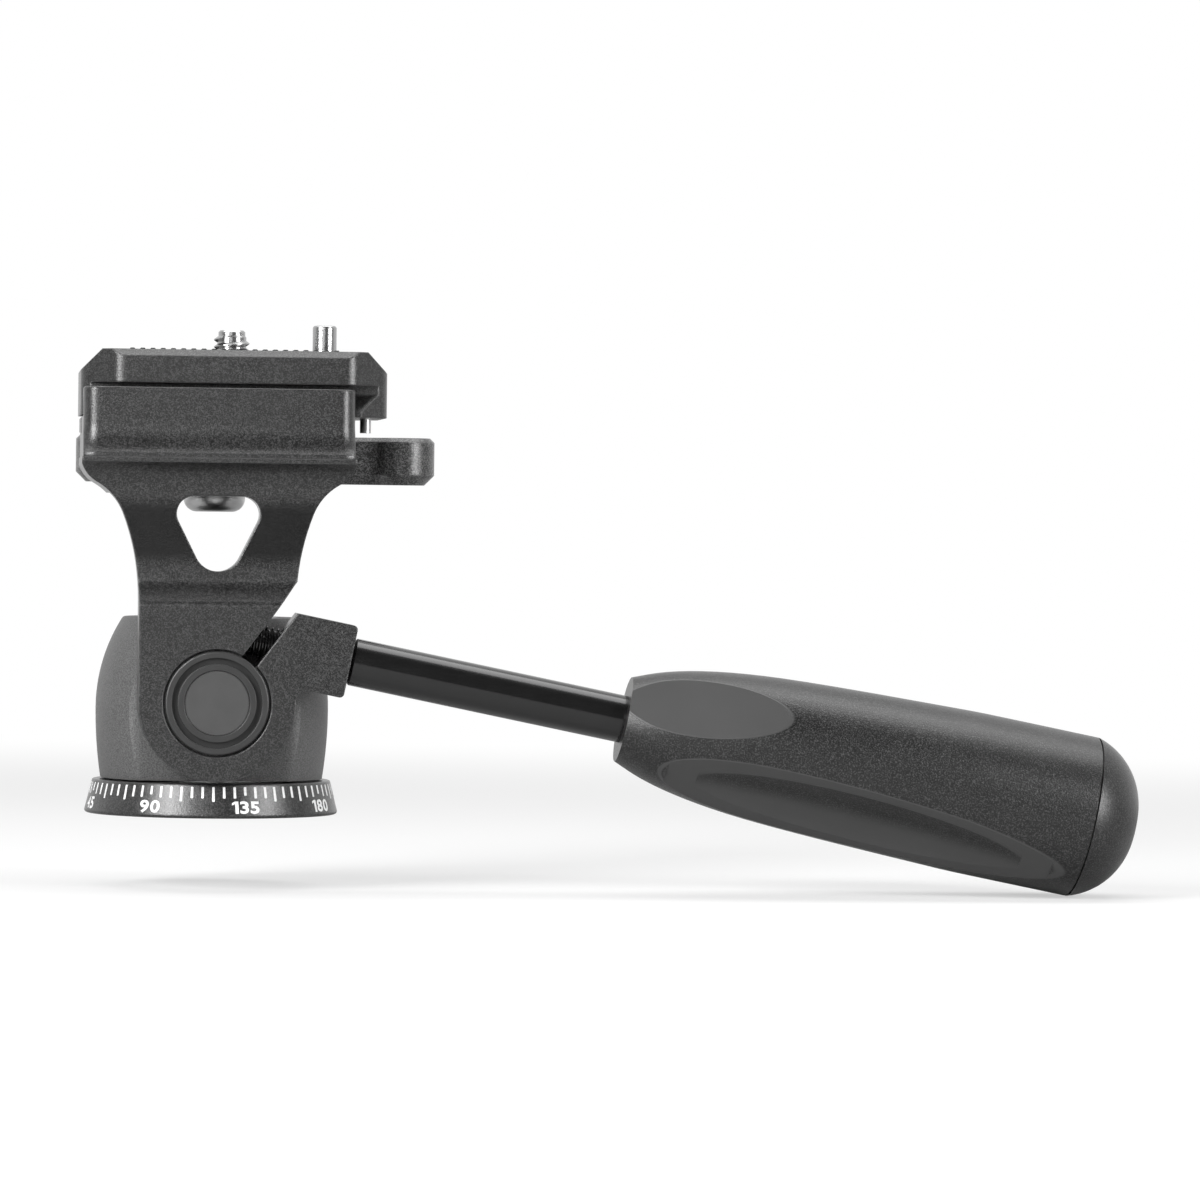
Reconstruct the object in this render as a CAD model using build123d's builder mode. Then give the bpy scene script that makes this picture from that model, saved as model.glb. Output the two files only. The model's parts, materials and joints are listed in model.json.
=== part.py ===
from build123d import *
from math import atan2, cos, degrees, radians, sin, sqrt
import os

# Compact two-way pan head: a panning barrel on a graduated base, a side yoke that tilts on a hub,
# a lever clamp with a sliding camera plate, and a handle whose screw end locks the tilt.
# Lengths are millimetres. +Z is the pan axis, +X points along the handle, -Y is the yoke's side,
# and the origin is the mouth of the tripod thread, in the plane of the base.

# Play and cutting allowances
running_fit = 0.05
seat_fit = 0.02
slide_gap = 0.1
clear_gap = 0.3
overrun = 1.0
edge_break = 0.35

# Base: scale ring, spindle, tripod thread
ring_foot_radius = 22.7
ring_top_radius = 21.2
ring_height = 6.0
ring_foot_round = 0.5
ring_top_round = 0.3
flange_radius = 17.0
flange_height = 3.5
spindle_radius = 8.0
spindle_thread_radius = 6.0
spindle_thread_length = 7.5
tripod_hole_radius = 4.0
tripod_hole_depth = 11.0
insert_radius = 6.2
base_screw_radius = 1.5
base_screw_head_radius = 2.9
base_screw_head_height = 1.5
base_screw_length = 5.2
base_screw_pitch_radius = 13.0
base_screw_count = 3

# Pan bearing: thrust washer, bush, disc spring, nut
washer_radius = 14.0
washer_height = 1.0
bush_radius = 9.6
bush_length = 17.0
spring_radius = 11.0
spring_sheet = 0.8
spring_rise = 0.6
pan_nut_flats = 18.0
pan_nut_height = 4.6

# Barrel
barrel_foot_radius = 19.8
barrel_waist_radius = 20.75
barrel_waist_height = 18.7
barrel_top_radius = 16.0
barrel_top = 35.0
barrel_edge_round = 0.8
barrel_flat_reach = 14.8
barrel_flat_round = 5.0
cavity_radius = 12.0
cover_sheet = 2.4

# Tilt hub, its cap and bolt; reaches are distances from the pan axis towards -Y
pivot_height = 20.3
hub_radius = 8.05
hub_spigot_radius = 6.0
hub_spigot_length = 2.8
arm_thickness = 9.4
cap_radius = 9.1
cap_bore_radius = 9.5
cap_bore_depth = 1.7
cap_proud = 0.1
cap_boss_radius = 6.63
cap_boss_length = 4.0
cap_floor = 1.5
cap_groove_radii = (6.85, 7.95)
cap_groove_depth = 0.8
cap_eye_radius = 5.65
cap_rim_radius = 5.8
cap_rim_lip = 0.25
disc_sheet = 1.0
disc_sunk = 0.3
hub_bolt_radius = 2.5
hub_bolt_head_radius = 4.25
hub_bolt_head_height = 2.4
hub_bolt_socket_radius = 2.3
hub_bolt_end_margin = 0.4
socket_depth_share = 0.7
tilt_bush_sheet = 0.5
tilt_bush_split = 1.2

# Yoke: ring, neck, platform, split block
yoke_ring_gap = 0.5
neck_low_share = 0.4126
neck_high_share = 0.7739
neck_high_half = 16.7
flare_share = 0.8974
flare_half = 21.35
lip_half = 24.0
lip_drop = 1.2
platform_top = 63.2
platform_sheet = 6.2
platform_far_reach = 14.5
lip_reach = 25.0
neck_reach = 21.0
neck_step_shares = (0.408, 0.487)
neck_step_rounds = (1.6, 2.2)
neck_flare_share = 0.82
lip_height = 0.8
inner_corner_round = 6.0
window_low_share = 0.634
window_low_radius = 4.2
window_high_share = 0.772
window_high_radius = 3.1
window_high_half = 4.2
notch_reach = 18.5
notch_share = 0.5128
notch_half = 14.4
notch_clear_half = 22.0
slot_angle = 53.0
slot_width = 3.1
slot_mouth = 21.8
block_reach = 21.4
block_top = 18.3
block_bottom = 5.4
block_root = 6.0
block_fillet = 2.0
block_fillet_share = 0.72
block_corner_round = 0.8

# Handle: rod, grip, end cap; places along the axis count from the foot of the pivot's perpendicular
handle_angle = 11.4
handle_offset = 11.95
rod_radius = 4.2
rod_screw_radius = 3.0
rod_screw_start = -6.0
rod_screw_slack = 0.4
rod_chamfer = 0.5
rod_in_grip = 42.0
grip_start = 70.9
grip_length = 83.8
grip_mouth_radius = 7.6
grip_end_radius = 14.4
grip_shape_places = (3.6, 10.0, 17.8, 31.5, 58.0)
grip_shape_radii = (9.05, 10.85, 12.15, 13.27, 14.25)
grip_spigot_radius = 9.0
grip_spigot_length = 8.0
thumb_place = 14.6
thumb_reach = 10.35
thumb_slope = 11.7
thumb_turn = 29.0
leaf_turn = -46.0
leaf_places = (8.5, 43.6, 78.7)
leaf_reaches = (10.25, 11.65, 14.25)
groove_places = (14.1, 43.6, 73.1)
groove_reaches = (10.3, 10.75, 13.65)
groove_axis_reach = 30.0
end_cap_length = 9.2
end_cap_seam = 0.3
end_cap_seam_depth = 0.5
end_cap_face_radius = 5.5
end_cap_bulge_share = 0.63

# Clamp: body with its fixed jaw, bolt, dowels
clamp_half = 23.8
clamp_corner_round = 3.0
jaw_face_reach = 23.0
jaw_rise = 12.3
jaw_edge_round = 0.4
foot_lip_height = 0.7
foot_cove_height = 3.3
floor_rise = 7.2
floor_sheet = 2.45
floor_far_reach = 28.0
clamp_bolt_radius = 3.0
clamp_bolt_head_radius = 5.5
clamp_bolt_head_height = 3.2
clamp_bolt_socket_radius = 2.0
clamp_bolt_socket_depth = 1.8
clamp_bolt_bite = 5.8
button_round_share = 0.75
dowel_radius = 1.5
dowel_length = 6.0
dowel_half_pitch = 12.0
dowel_reach = 8.0

# Camera plate
plate_length = 54.1
plate_shift = 2.8
plate_top_half = 20.6
plate_flange_half = 19.0
plate_neck_half = 15.8
plate_flange_edge = 0.8
plate_over_jaw = 0.8
plate_head_height = 5.9
plate_end_chamfer = 3.7
plate_side_chamfer = 1.25
plate_corner_clip = 6.5
plate_corner_round = 3.4
pad_half = 20.2
pad_side_half = 17.0
pad_sheet = 0.8
ridge_pitch = 1.8
ridge_height = 0.35
ridge_foot_share = 0.7
ridge_crest_share = 0.35
camera_thread_radius = 3.175
camera_screw_proud = 4.0
camera_screw_tip_chamfer = 0.7
camera_head_radius = 7.5
camera_head_height = 3.6
camera_head_sunk = 0.4
camera_coin_slot_width = 1.8
camera_coin_slot_depth = 1.4
clip_radius = 5.2
clip_sheet = 0.7
clip_pocket_radius = 5.6
clip_pocket_depth = 2.2
clip_groove_depth = 0.25
clip_mouth = 3.4
guide_pin_radius = 2.15
guide_pin_place = 16.6
guide_pin_proud = 5.1
guide_pin_collar_radius = 3.0
guide_pin_collar_height = 1.0
guide_pin_roof = 2.2
guide_pin_round = 0.5
pin_plug_height = 0.8
pin_spring_sheet = 0.6
stop_pin_radius = 1.0
stop_pin_place = 24.1
stop_pin_drop = 2.5
stop_pin_bite = 3.0

# Moving jaw, lever and its eccentric shaft
jaw_half = 22.8
moving_jaw_reach = 26.5
key_centres = (-6.0, 17.5)
key_neck_width = 4.0
key_foot_width = 5.4
key_height = 1.3
lever_pivot_x = -16.9
lever_pivot_reach = 22.8
lever_washer_sheet = 0.3
lever_thickness = 8.6
lever_hub_radius = 7.5
lever_tip_radius = 6.0
lever_tip_x = 34.9
lever_tip_offset = -1.6
lever_waist_x = 26.4
lever_waist_half = 3.4
lever_top_chamfer = 0.8
lever_bottom_chamfer = 1.8
shaft_radius = 3.5
shaft_drive_width = 5.0
eccentric_throw = 1.5
eccentric_radius = 1.6
eccentric_height = 3.6
eccentric_play = 0.15
eccentric_start_angle = -45.0
shaft_clip_radius = 4.6
shaft_clip_sheet = 0.6
shaft_clip_pocket_radius = 4.9
shaft_clip_pocket_depth = 0.8
lever_screw_radius = 1.5
lever_screw_head_radius = 3.0
lever_screw_head_height = 1.8
lever_screw_sunk = 0.4
lever_screw_bite = 5.0

# Worked out from the sizes above
arm_in = barrel_flat_reach + clear_gap
arm_out = arm_in + arm_thickness
arm_mid = arm_in + arm_thickness / 2
cap_face = arm_out + cap_proud
cap_seat = arm_out - cap_bore_depth + slide_gap
bore_radius = hub_radius + running_fit + tilt_bush_sheet + seat_fit
yoke_ring_radius = pivot_height - ring_height - yoke_ring_gap
platform_under = platform_top - platform_sheet
neck_height = platform_top - pivot_height
neck_low = pivot_height + neck_height * neck_low_share
neck_high = pivot_height + neck_height * neck_high_share
notch_top = pivot_height + neck_height * notch_share
flare_low = pivot_height + neck_height * flare_share
neck_step_low, neck_step_high = [pivot_height + neck_height * share for share in neck_step_shares]
neck_flare_start = pivot_height + neck_height * neck_flare_share
window_low_height = pivot_height + neck_height * window_low_share
window_high_height = pivot_height + neck_height * window_high_share
barrel_foot = ring_height + clear_gap
bearing_floor = ring_height + washer_height
ledge_height = bearing_floor + bush_length
floor_top = platform_top + floor_rise
floor_under = floor_top - floor_sheet
jaw_top = platform_top + jaw_rise
jaw_foot = floor_top + slide_gap
plate_bottom = floor_top + clear_gap
plate_dovetail = plate_flange_half - plate_neck_half
plate_flange_top = plate_bottom + plate_flange_edge
plate_neck_top = jaw_top + plate_over_jaw
plate_top = plate_neck_top + plate_head_height
camera_screw_top = plate_top + camera_screw_proud
guide_pin_top = plate_top + guide_pin_proud
lever_top = floor_under - lever_washer_sheet
lever_bottom = lever_top - lever_thickness
stop_notch_end = stop_pin_place - plate_shift - stop_pin_radius - slide_gap
key_places = [(x, floor_top - key_height) for x in key_centres]

slot_along = (cos(radians(slot_angle)), sin(radians(slot_angle)))
handle_along = (cos(radians(handle_angle)), -sin(radians(handle_angle)))
handle_up = (sin(radians(handle_angle)), cos(radians(handle_angle)))


def slot_point(along, across):
    """Place in the yoke's outline, measured from the pivot along and across the clamping slot."""
    x = along * slot_along[0] + across * slot_along[1]
    z = pivot_height + along * slot_along[1] - across * slot_along[0]
    return (x, z)


def handle_point(along, up):
    """Place in the yoke's outline, measured from the pivot along and above the handle's direction."""
    x = along * handle_along[0] + up * handle_up[0]
    z = pivot_height + along * handle_along[1] + up * handle_up[1]
    return (x, z)


def key_outline(play):
    """Dovetail key that guides the moving jaw, seen along its slide, with play on its sides and foot."""
    foot = key_foot_width / 2 + play
    neck = key_neck_width / 2 + play
    roof = key_height + 2 * slide_gap
    right = [(foot, -play), (neck, key_height), (neck, roof)]
    return right + [(-x, z) for x, z in reversed(right)]


def keep(piece, name):
    """Label a finished piece and write it."""
    piece.part.label = name
    export_step(piece.part, f"parts/{name}.step")


os.makedirs("parts", exist_ok=True)

# Planes and axes that the moving groups share
pivot_plane = Plane(origin=(0, 0, pivot_height), x_dir=(1, 0, 0), z_dir=(0, -1, 0))
pivot_axis = Axis((0, 0, pivot_height), (0, -1, 0))
hub_section = Plane(origin=(0, 0, pivot_height), x_dir=(0, -1, 0), z_dir=(1, 0, 0))
handle_x, handle_z = handle_point(0, handle_offset)
handle_origin = Vector(handle_x, -arm_mid, handle_z)
handle_direction = Vector(handle_along[0], 0, handle_along[1])
handle_rise = Vector(handle_up[0], 0, handle_up[1])
handle_axis = Axis(handle_origin, handle_direction)
handle_section = Plane(origin=handle_origin, x_dir=handle_direction, z_dir=(0, -1, 0))
handle_cross = Plane(origin=handle_origin, x_dir=(0, -1, 0), z_dir=handle_direction)
plate_centre = (plate_shift, 0)
guide_pin_centre = (plate_shift + guide_pin_place, 0)
lever_pivot = (lever_pivot_x, lever_pivot_reach)


# Base, fixed to the tripod

with BuildPart() as scale_ring:
    with BuildSketch(Plane.XZ):
        with BuildLine():
            Polyline(
                (flange_radius + seat_fit, 0),
                (ring_foot_radius, 0),
                (ring_top_radius, ring_height),
                (spindle_radius + clear_gap, ring_height),
                (spindle_radius + clear_gap, flange_height),
                (flange_radius + seat_fit, flange_height),
                close=True,
            )
        make_face()
    revolve(axis=Axis.Z)
    rims = scale_ring.edges().filter_by(GeomType.CIRCLE).sort_by(SortBy.RADIUS)
    fillet(rims[-1], ring_foot_round)
    fillet(scale_ring.edges().group_by(Axis.Z)[-1].sort_by(SortBy.RADIUS)[-1], ring_top_round)
    with PolarLocations(base_screw_pitch_radius, base_screw_count):
        Cylinder(
            base_screw_radius + seat_fit,
            base_screw_length + clear_gap,
            align=(Align.CENTER, Align.CENTER, Align.MIN),
            mode=Mode.SUBTRACT,
        )
keep(scale_ring, "scale_ring")

spindle_shoulder = ledge_height - clear_gap
spindle_top = spindle_shoulder + spindle_thread_length
with BuildPart() as pan_spindle:
    Cylinder(flange_radius, flange_height, align=(Align.CENTER, Align.CENTER, Align.MIN))
    Cylinder(spindle_radius, spindle_shoulder, align=(Align.CENTER, Align.CENTER, Align.MIN))
    Cylinder(spindle_thread_radius, spindle_top, align=(Align.CENTER, Align.CENTER, Align.MIN))
    chamfer(pan_spindle.edges().group_by(Axis.Z)[-1], edge_break)
    Cylinder(
        insert_radius + seat_fit,
        tripod_hole_depth,
        align=(Align.CENTER, Align.CENTER, Align.MIN),
        mode=Mode.SUBTRACT,
    )
    with PolarLocations(base_screw_pitch_radius, base_screw_count):
        Cylinder(
            base_screw_radius + seat_fit,
            flange_height,
            align=(Align.CENTER, Align.CENTER, Align.MIN),
            mode=Mode.SUBTRACT,
        )
        Cone(
            base_screw_head_radius + seat_fit,
            base_screw_radius + seat_fit,
            base_screw_head_height,
            align=(Align.CENTER, Align.CENTER, Align.MIN),
            mode=Mode.SUBTRACT,
        )
keep(pan_spindle, "pan_spindle")

with BuildPart() as thread_insert:
    Cylinder(insert_radius, tripod_hole_depth, align=(Align.CENTER, Align.CENTER, Align.MIN))
    Cylinder(
        tripod_hole_radius,
        tripod_hole_depth,
        align=(Align.CENTER, Align.CENTER, Align.MIN),
        mode=Mode.SUBTRACT,
    )
keep(thread_insert, "thread_insert")

with BuildPart() as base_screws:
    with PolarLocations(base_screw_pitch_radius, base_screw_count):
        Cone(
            base_screw_head_radius,
            base_screw_radius,
            base_screw_head_height,
            align=(Align.CENTER, Align.CENTER, Align.MIN),
        )
        Cylinder(
            base_screw_radius,
            base_screw_length,
            align=(Align.CENTER, Align.CENTER, Align.MIN),
        )
keep(base_screws, "base_screws")

spring_seat = ledge_height + spring_rise + spring_sheet
with BuildPart() as disc_spring:
    with BuildSketch(Plane.XZ):
        with BuildLine():
            Polyline(
                (spring_radius, ledge_height),
                (spring_radius, ledge_height + spring_sheet),
                (spindle_thread_radius + slide_gap, spring_seat),
                (spindle_thread_radius + slide_gap, spring_seat - spring_sheet),
                close=True,
            )
        make_face()
    revolve(axis=Axis.Z)
keep(disc_spring, "disc_spring")

with BuildPart() as pan_nut:
    with BuildSketch(Plane.XY.offset(spring_seat)):
        RegularPolygon(pan_nut_flats / 2, side_count=6, major_radius=False)
        Circle(spindle_thread_radius + seat_fit, mode=Mode.SUBTRACT)
    extrude(amount=pan_nut_height)
keep(pan_nut, "pan_nut")


# Barrel, which pans on the base

with BuildPart() as barrel_body:
    with BuildSketch(Plane.XZ):
        with BuildLine():
            waist = (barrel_waist_radius, barrel_waist_height)
            lower = TangentArc(waist, (barrel_foot_radius, barrel_foot), tangent=(0, -1))
            upper = TangentArc(waist, (barrel_top_radius, barrel_top), tangent=(0, 1))
            Polyline(
                upper @ 1,
                (cavity_radius, barrel_top),
                (cavity_radius, ledge_height),
                (bush_radius, ledge_height),
                (bush_radius, bearing_floor),
                (washer_radius + clear_gap, bearing_floor),
                (washer_radius + clear_gap, barrel_foot),
                lower @ 1,
            )
        make_face()
    revolve(axis=Axis.Z)
    shoulder = barrel_body.edges().group_by(Axis.Z)[-1].sort_by(SortBy.RADIUS)[-1]
    fillet(shoulder, barrel_edge_round)
    with BuildSketch(Plane.XY) as plan:
        Circle(barrel_waist_radius + clear_gap)
        with Locations((0, -barrel_flat_reach)):
            Rectangle(
                2 * ring_foot_radius,
                ring_foot_radius,
                align=(Align.CENTER, Align.MAX),
                mode=Mode.SUBTRACT,
            )
        fillet(plan.vertices().group_by(Axis.Y)[0], barrel_flat_round)
    extrude(amount=barrel_top + overrun, mode=Mode.INTERSECT)
    with BuildSketch(pivot_plane.offset(barrel_flat_reach - hub_spigot_length - slide_gap)):
        Circle(hub_spigot_radius + seat_fit)
    extrude(amount=hub_spigot_length + overrun, mode=Mode.SUBTRACT)
    with BuildSketch(pivot_plane):
        Circle(hub_bolt_radius + seat_fit)
    extrude(amount=barrel_flat_reach, mode=Mode.SUBTRACT)
keep(barrel_body, "barrel_body")

with BuildPart() as thrust_washer:
    with BuildSketch(Plane.XY.offset(ring_height)):
        Circle(washer_radius)
        Circle(spindle_radius + slide_gap, mode=Mode.SUBTRACT)
    extrude(amount=washer_height)
keep(thrust_washer, "thrust_washer")

with BuildPart() as pan_bush:
    with BuildSketch(Plane.XY.offset(bearing_floor)):
        Circle(bush_radius - seat_fit)
        Circle(spindle_radius + running_fit, mode=Mode.SUBTRACT)
    extrude(amount=bush_length - slide_gap)
keep(pan_bush, "pan_bush")

with BuildPart() as top_cover:
    with BuildSketch(Plane.XY.offset(barrel_top - cover_sheet)):
        Circle(cavity_radius - seat_fit)
    extrude(amount=cover_sheet)
    chamfer(top_cover.edges().group_by(Axis.Z)[-1], edge_break)
keep(top_cover, "top_cover")

with BuildPart() as tilt_hub:
    with BuildSketch(hub_section):
        with BuildLine():
            Polyline(
                (barrel_flat_reach - hub_spigot_length, hub_bolt_radius + seat_fit),
                (barrel_flat_reach - hub_spigot_length, hub_spigot_radius),
                (barrel_flat_reach, hub_spigot_radius),
                (barrel_flat_reach, hub_radius),
                (cap_seat, hub_radius),
                (cap_seat, cap_boss_radius + seat_fit),
                (cap_seat - cap_boss_length, cap_boss_radius + seat_fit),
                (cap_seat - cap_boss_length, hub_bolt_radius + seat_fit),
                close=True,
            )
        make_face()
    revolve(axis=pivot_axis)
keep(tilt_hub, "tilt_hub")

cap_floor_reach = cap_seat - cap_boss_length + cap_floor
with BuildPart() as hub_cap:
    with BuildSketch(hub_section):
        with BuildLine():
            Polyline(
                (cap_seat - cap_boss_length, hub_bolt_radius + seat_fit),
                (cap_seat - cap_boss_length, cap_boss_radius),
                (cap_seat, cap_boss_radius),
                (cap_seat, cap_radius),
                (cap_face, cap_radius),
                (cap_face, cap_groove_radii[1]),
                (cap_face - cap_groove_depth, cap_groove_radii[1]),
                (cap_face - cap_groove_depth, cap_groove_radii[0]),
                (cap_face, cap_groove_radii[0]),
                (cap_face, cap_rim_radius),
                (cap_face - cap_rim_lip, cap_eye_radius),
                (cap_floor_reach, cap_eye_radius),
                (cap_floor_reach, hub_bolt_radius + seat_fit),
                close=True,
            )
        make_face()
    revolve(axis=pivot_axis)
    rim = hub_cap.edges().group_by(Axis.Y)[0].sort_by(SortBy.RADIUS)[-1]
    fillet(rim, edge_break)
keep(hub_cap, "hub_cap")

with BuildPart() as cap_disc:
    with BuildSketch(pivot_plane.offset(cap_face - disc_sunk - disc_sheet)):
        Circle(cap_eye_radius - seat_fit)
    extrude(amount=disc_sheet)
keep(cap_disc, "cap_disc")

with BuildPart() as hub_bolt:
    with BuildSketch(pivot_plane.offset(cap_floor_reach)):
        Circle(hub_bolt_head_radius)
    extrude(amount=hub_bolt_head_height)
    with BuildSketch(pivot_plane.offset(bush_radius + hub_bolt_end_margin)):
        Circle(hub_bolt_radius)
    extrude(amount=cap_floor_reach - bush_radius - hub_bolt_end_margin)
    with BuildSketch(pivot_plane.offset(cap_floor_reach + hub_bolt_head_height)):
        RegularPolygon(hub_bolt_socket_radius, side_count=6)
    extrude(amount=-hub_bolt_head_height * socket_depth_share, mode=Mode.SUBTRACT)
keep(hub_bolt, "hub_bolt")


# Yoke, which tilts on the hub and carries the clamp

flare_top = platform_top - lip_drop
with BuildPart() as yoke:
    with BuildSketch(Plane.YZ):
        with BuildLine():
            front = FilletPolyline(
                (-arm_out, 0),
                (-arm_out, neck_step_low),
                (-neck_reach, neck_step_high),
                (-neck_reach, neck_flare_start),
                radius=neck_step_rounds,
            )
            cove = TangentArc(front @ 1, (-lip_reach, platform_top - lip_height), tangent=(0, 1))
            back = FilletPolyline(
                (platform_far_reach, platform_under),
                (-arm_in, platform_under),
                (-arm_in, 0),
                radius=inner_corner_round,
            )
            Polyline(
                cove @ 1,
                (-lip_reach, platform_top),
                (platform_far_reach, platform_top),
                back @ 0,
            )
            Line(back @ 1, front @ 0)
        make_face()
    extrude(amount=2 * lip_half, both=True)
    with BuildSketch(Plane.XZ) as outline:
        with BuildLine():
            side = Line((-yoke_ring_radius, pivot_height), (-yoke_ring_radius, neck_low))
            bow = TangentArc(side @ 1, (-neck_high_half, neck_high), tangent=side % 1)
            flare = TangentArc(bow @ 1, (-flare_half, flare_low), tangent=bow % 1)
            brow = TangentArc(flare @ 1, (-lip_half, flare_top), tangent=flare % 1)
            Polyline(brow @ 1, (-lip_half, platform_top), (0, platform_top))
            Line((-yoke_ring_radius, pivot_height), (0, pivot_height))
            mirror(about=Plane.YZ)
        make_face()
        with Locations((0, pivot_height)):
            Circle(yoke_ring_radius)
        with BuildLine():
            Polyline(
                handle_point(block_root, block_top),
                handle_point(block_reach, block_top),
                handle_point(block_reach, block_bottom),
                handle_point(block_root, block_bottom),
                close=True,
            )
        make_face()
        with BuildLine():
            Polyline(
                (notch_half, notch_top),
                slot_point(notch_reach, -slot_width / 2),
                slot_point(0, -slot_width / 2),
                slot_point(0, slot_width / 2),
                slot_point(slot_mouth, slot_width / 2),
                (notch_clear_half, notch_top),
                close=True,
            )
        make_face(mode=Mode.SUBTRACT)
        block_root_place = sqrt(yoke_ring_radius**2 - block_bottom**2)
        root_corner = outline.vertices().sort_by_distance(handle_point(block_root_place, block_bottom))[0]
        root_rise = handle_point(block_root_place, block_bottom)[1] - pivot_height
        fillet(root_corner, min(block_fillet, root_rise * block_fillet_share))
        for up in (block_top, block_bottom):
            corner = outline.vertices().sort_by_distance(handle_point(block_reach, up))[0]
            fillet(corner, block_corner_round)
    extrude(amount=2 * lip_reach, both=True, mode=Mode.INTERSECT)
    with BuildSketch(Plane.XZ.offset(arm_in)):
        with Locations((0, window_low_height)):
            Circle(window_low_radius)
        with Locations((-window_high_half, window_high_height), (window_high_half, window_high_height)):
            Circle(window_high_radius)
        make_hull()
    extrude(amount=arm_thickness, both=True, mode=Mode.SUBTRACT)
    with BuildSketch(pivot_plane):
        Circle(bore_radius)
    extrude(amount=arm_out + overrun, mode=Mode.SUBTRACT)
    with BuildSketch(pivot_plane.offset(arm_out - cap_bore_depth)):
        Circle(cap_bore_radius)
    extrude(amount=cap_bore_depth + overrun, mode=Mode.SUBTRACT)
    with BuildSketch(handle_cross.offset(rod_screw_start - rod_screw_slack)):
        Circle(rod_screw_radius + running_fit)
    extrude(amount=block_reach - rod_screw_start + overrun, mode=Mode.SUBTRACT)
    with BuildSketch(Plane.XY.offset(platform_under - overrun)):
        Circle(clamp_bolt_radius + seat_fit)
    extrude(amount=platform_sheet + 2 * overrun, mode=Mode.SUBTRACT)
    with BuildSketch(Plane.XY.offset(platform_top - dowel_length / 2)):
        with Locations((-dowel_half_pitch, -dowel_reach), (dowel_half_pitch, -dowel_reach)):
            Circle(dowel_radius + seat_fit)
    extrude(amount=dowel_length, mode=Mode.SUBTRACT)
keep(yoke, "yoke")

with BuildPart() as tilt_bush:
    with BuildSketch(pivot_plane.offset(arm_in)):
        Circle(bore_radius - seat_fit)
        Circle(hub_radius + running_fit, mode=Mode.SUBTRACT)
        with Locations(Location((0, 0), slot_angle)):
            Rectangle(
                bore_radius + overrun,
                tilt_bush_split,
                align=(Align.MIN, Align.CENTER),
                mode=Mode.SUBTRACT,
            )
    extrude(amount=arm_thickness - cap_bore_depth)
keep(tilt_bush, "tilt_bush")

with BuildPart() as clamp_body:
    with BuildSketch(Plane.YZ):
        with BuildLine():
            foot = Line((-lip_reach, platform_top), (-lip_reach, platform_top + foot_lip_height))
            face_foot = (-jaw_face_reach, platform_top + foot_cove_height)
            cove = TangentArc(face_foot, foot @ 1, tangent=(0, -1))
            jaw_wall = plate_flange_half + slide_gap
            jaw_lip = plate_neck_half + slide_gap
            undercut_low = plate_flange_top + slide_gap
            undercut_high = undercut_low + plate_dovetail
            Polyline(
                face_foot,
                (-jaw_face_reach, jaw_top),
                (-jaw_lip, jaw_top),
                (-jaw_lip, undercut_high),
                (-jaw_wall, undercut_low),
                (-jaw_wall, floor_top),
                (floor_far_reach, floor_top),
                (floor_far_reach, floor_under),
                (platform_far_reach, floor_under),
                (platform_far_reach, platform_top),
                foot @ 0,
            )
        make_face()
    extrude(amount=2 * clamp_half, both=True)
    with BuildSketch(Plane.XY.offset(platform_top)) as clamp_plan:
        with Locations((0, -lip_reach)):
            Rectangle(2 * clamp_half, lip_reach + floor_far_reach, align=(Align.CENTER, Align.MIN))
        fillet(clamp_plan.vertices(), clamp_corner_round)
    extrude(amount=jaw_top - platform_top, mode=Mode.INTERSECT)
    jaw_edges = clamp_body.faces().sort_by(Axis.Z)[-1].edges()
    fillet(jaw_edges, jaw_edge_round)
    with BuildSketch(Plane.XY.offset(floor_top - stop_pin_drop - clear_gap)):
        for side in (-1, 1):
            with Locations((side * stop_notch_end, 0)):
                notch_align = Align.MIN if side > 0 else Align.MAX
                Rectangle(clamp_half, 2 * (stop_pin_radius + clear_gap), align=(notch_align, Align.CENTER))
    extrude(amount=stop_pin_drop + clear_gap + overrun, mode=Mode.SUBTRACT)
    with BuildSketch(Plane.XZ.offset(-floor_far_reach - overrun)):
        with Locations(*key_places):
            Polygon(*key_outline(slide_gap), align=None)
    extrude(amount=floor_far_reach + overrun - plate_neck_half, mode=Mode.SUBTRACT)
    with BuildSketch(Plane.XY.offset(floor_under)):
        with Locations(lever_pivot):
            Circle(shaft_radius + running_fit)
    extrude(amount=floor_sheet + overrun, mode=Mode.SUBTRACT)
    with BuildSketch(Plane.XY.offset(floor_top - shaft_clip_pocket_depth)):
        with Locations(lever_pivot):
            Circle(shaft_clip_pocket_radius)
    extrude(amount=shaft_clip_pocket_depth + overrun, mode=Mode.SUBTRACT)
    with BuildSketch(Plane.XY.offset(platform_top)):
        Circle(clamp_bolt_radius + seat_fit)
    extrude(amount=clamp_bolt_bite + clear_gap, mode=Mode.SUBTRACT)
    with BuildSketch(Plane.XY.offset(platform_top)):
        with Locations((-dowel_half_pitch, -dowel_reach), (dowel_half_pitch, -dowel_reach)):
            Circle(dowel_radius + seat_fit)
    extrude(amount=dowel_length / 2, mode=Mode.SUBTRACT)
keep(clamp_body, "clamp_body")

with BuildPart() as clamp_bolt:
    with BuildSketch(Plane.XY.offset(platform_under)):
        Circle(clamp_bolt_head_radius)
    extrude(amount=-clamp_bolt_head_height)
    fillet(clamp_bolt.edges().group_by(Axis.Z)[0], clamp_bolt_head_height * button_round_share)
    with BuildSketch(Plane.XY.offset(platform_under)):
        Circle(clamp_bolt_radius)
    extrude(amount=platform_sheet + clamp_bolt_bite)
    with BuildSketch(Plane.XY.offset(platform_under - clamp_bolt_head_height)):
        RegularPolygon(clamp_bolt_socket_radius, side_count=6)
    extrude(amount=clamp_bolt_socket_depth, mode=Mode.SUBTRACT)
keep(clamp_bolt, "clamp_bolt")

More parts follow.
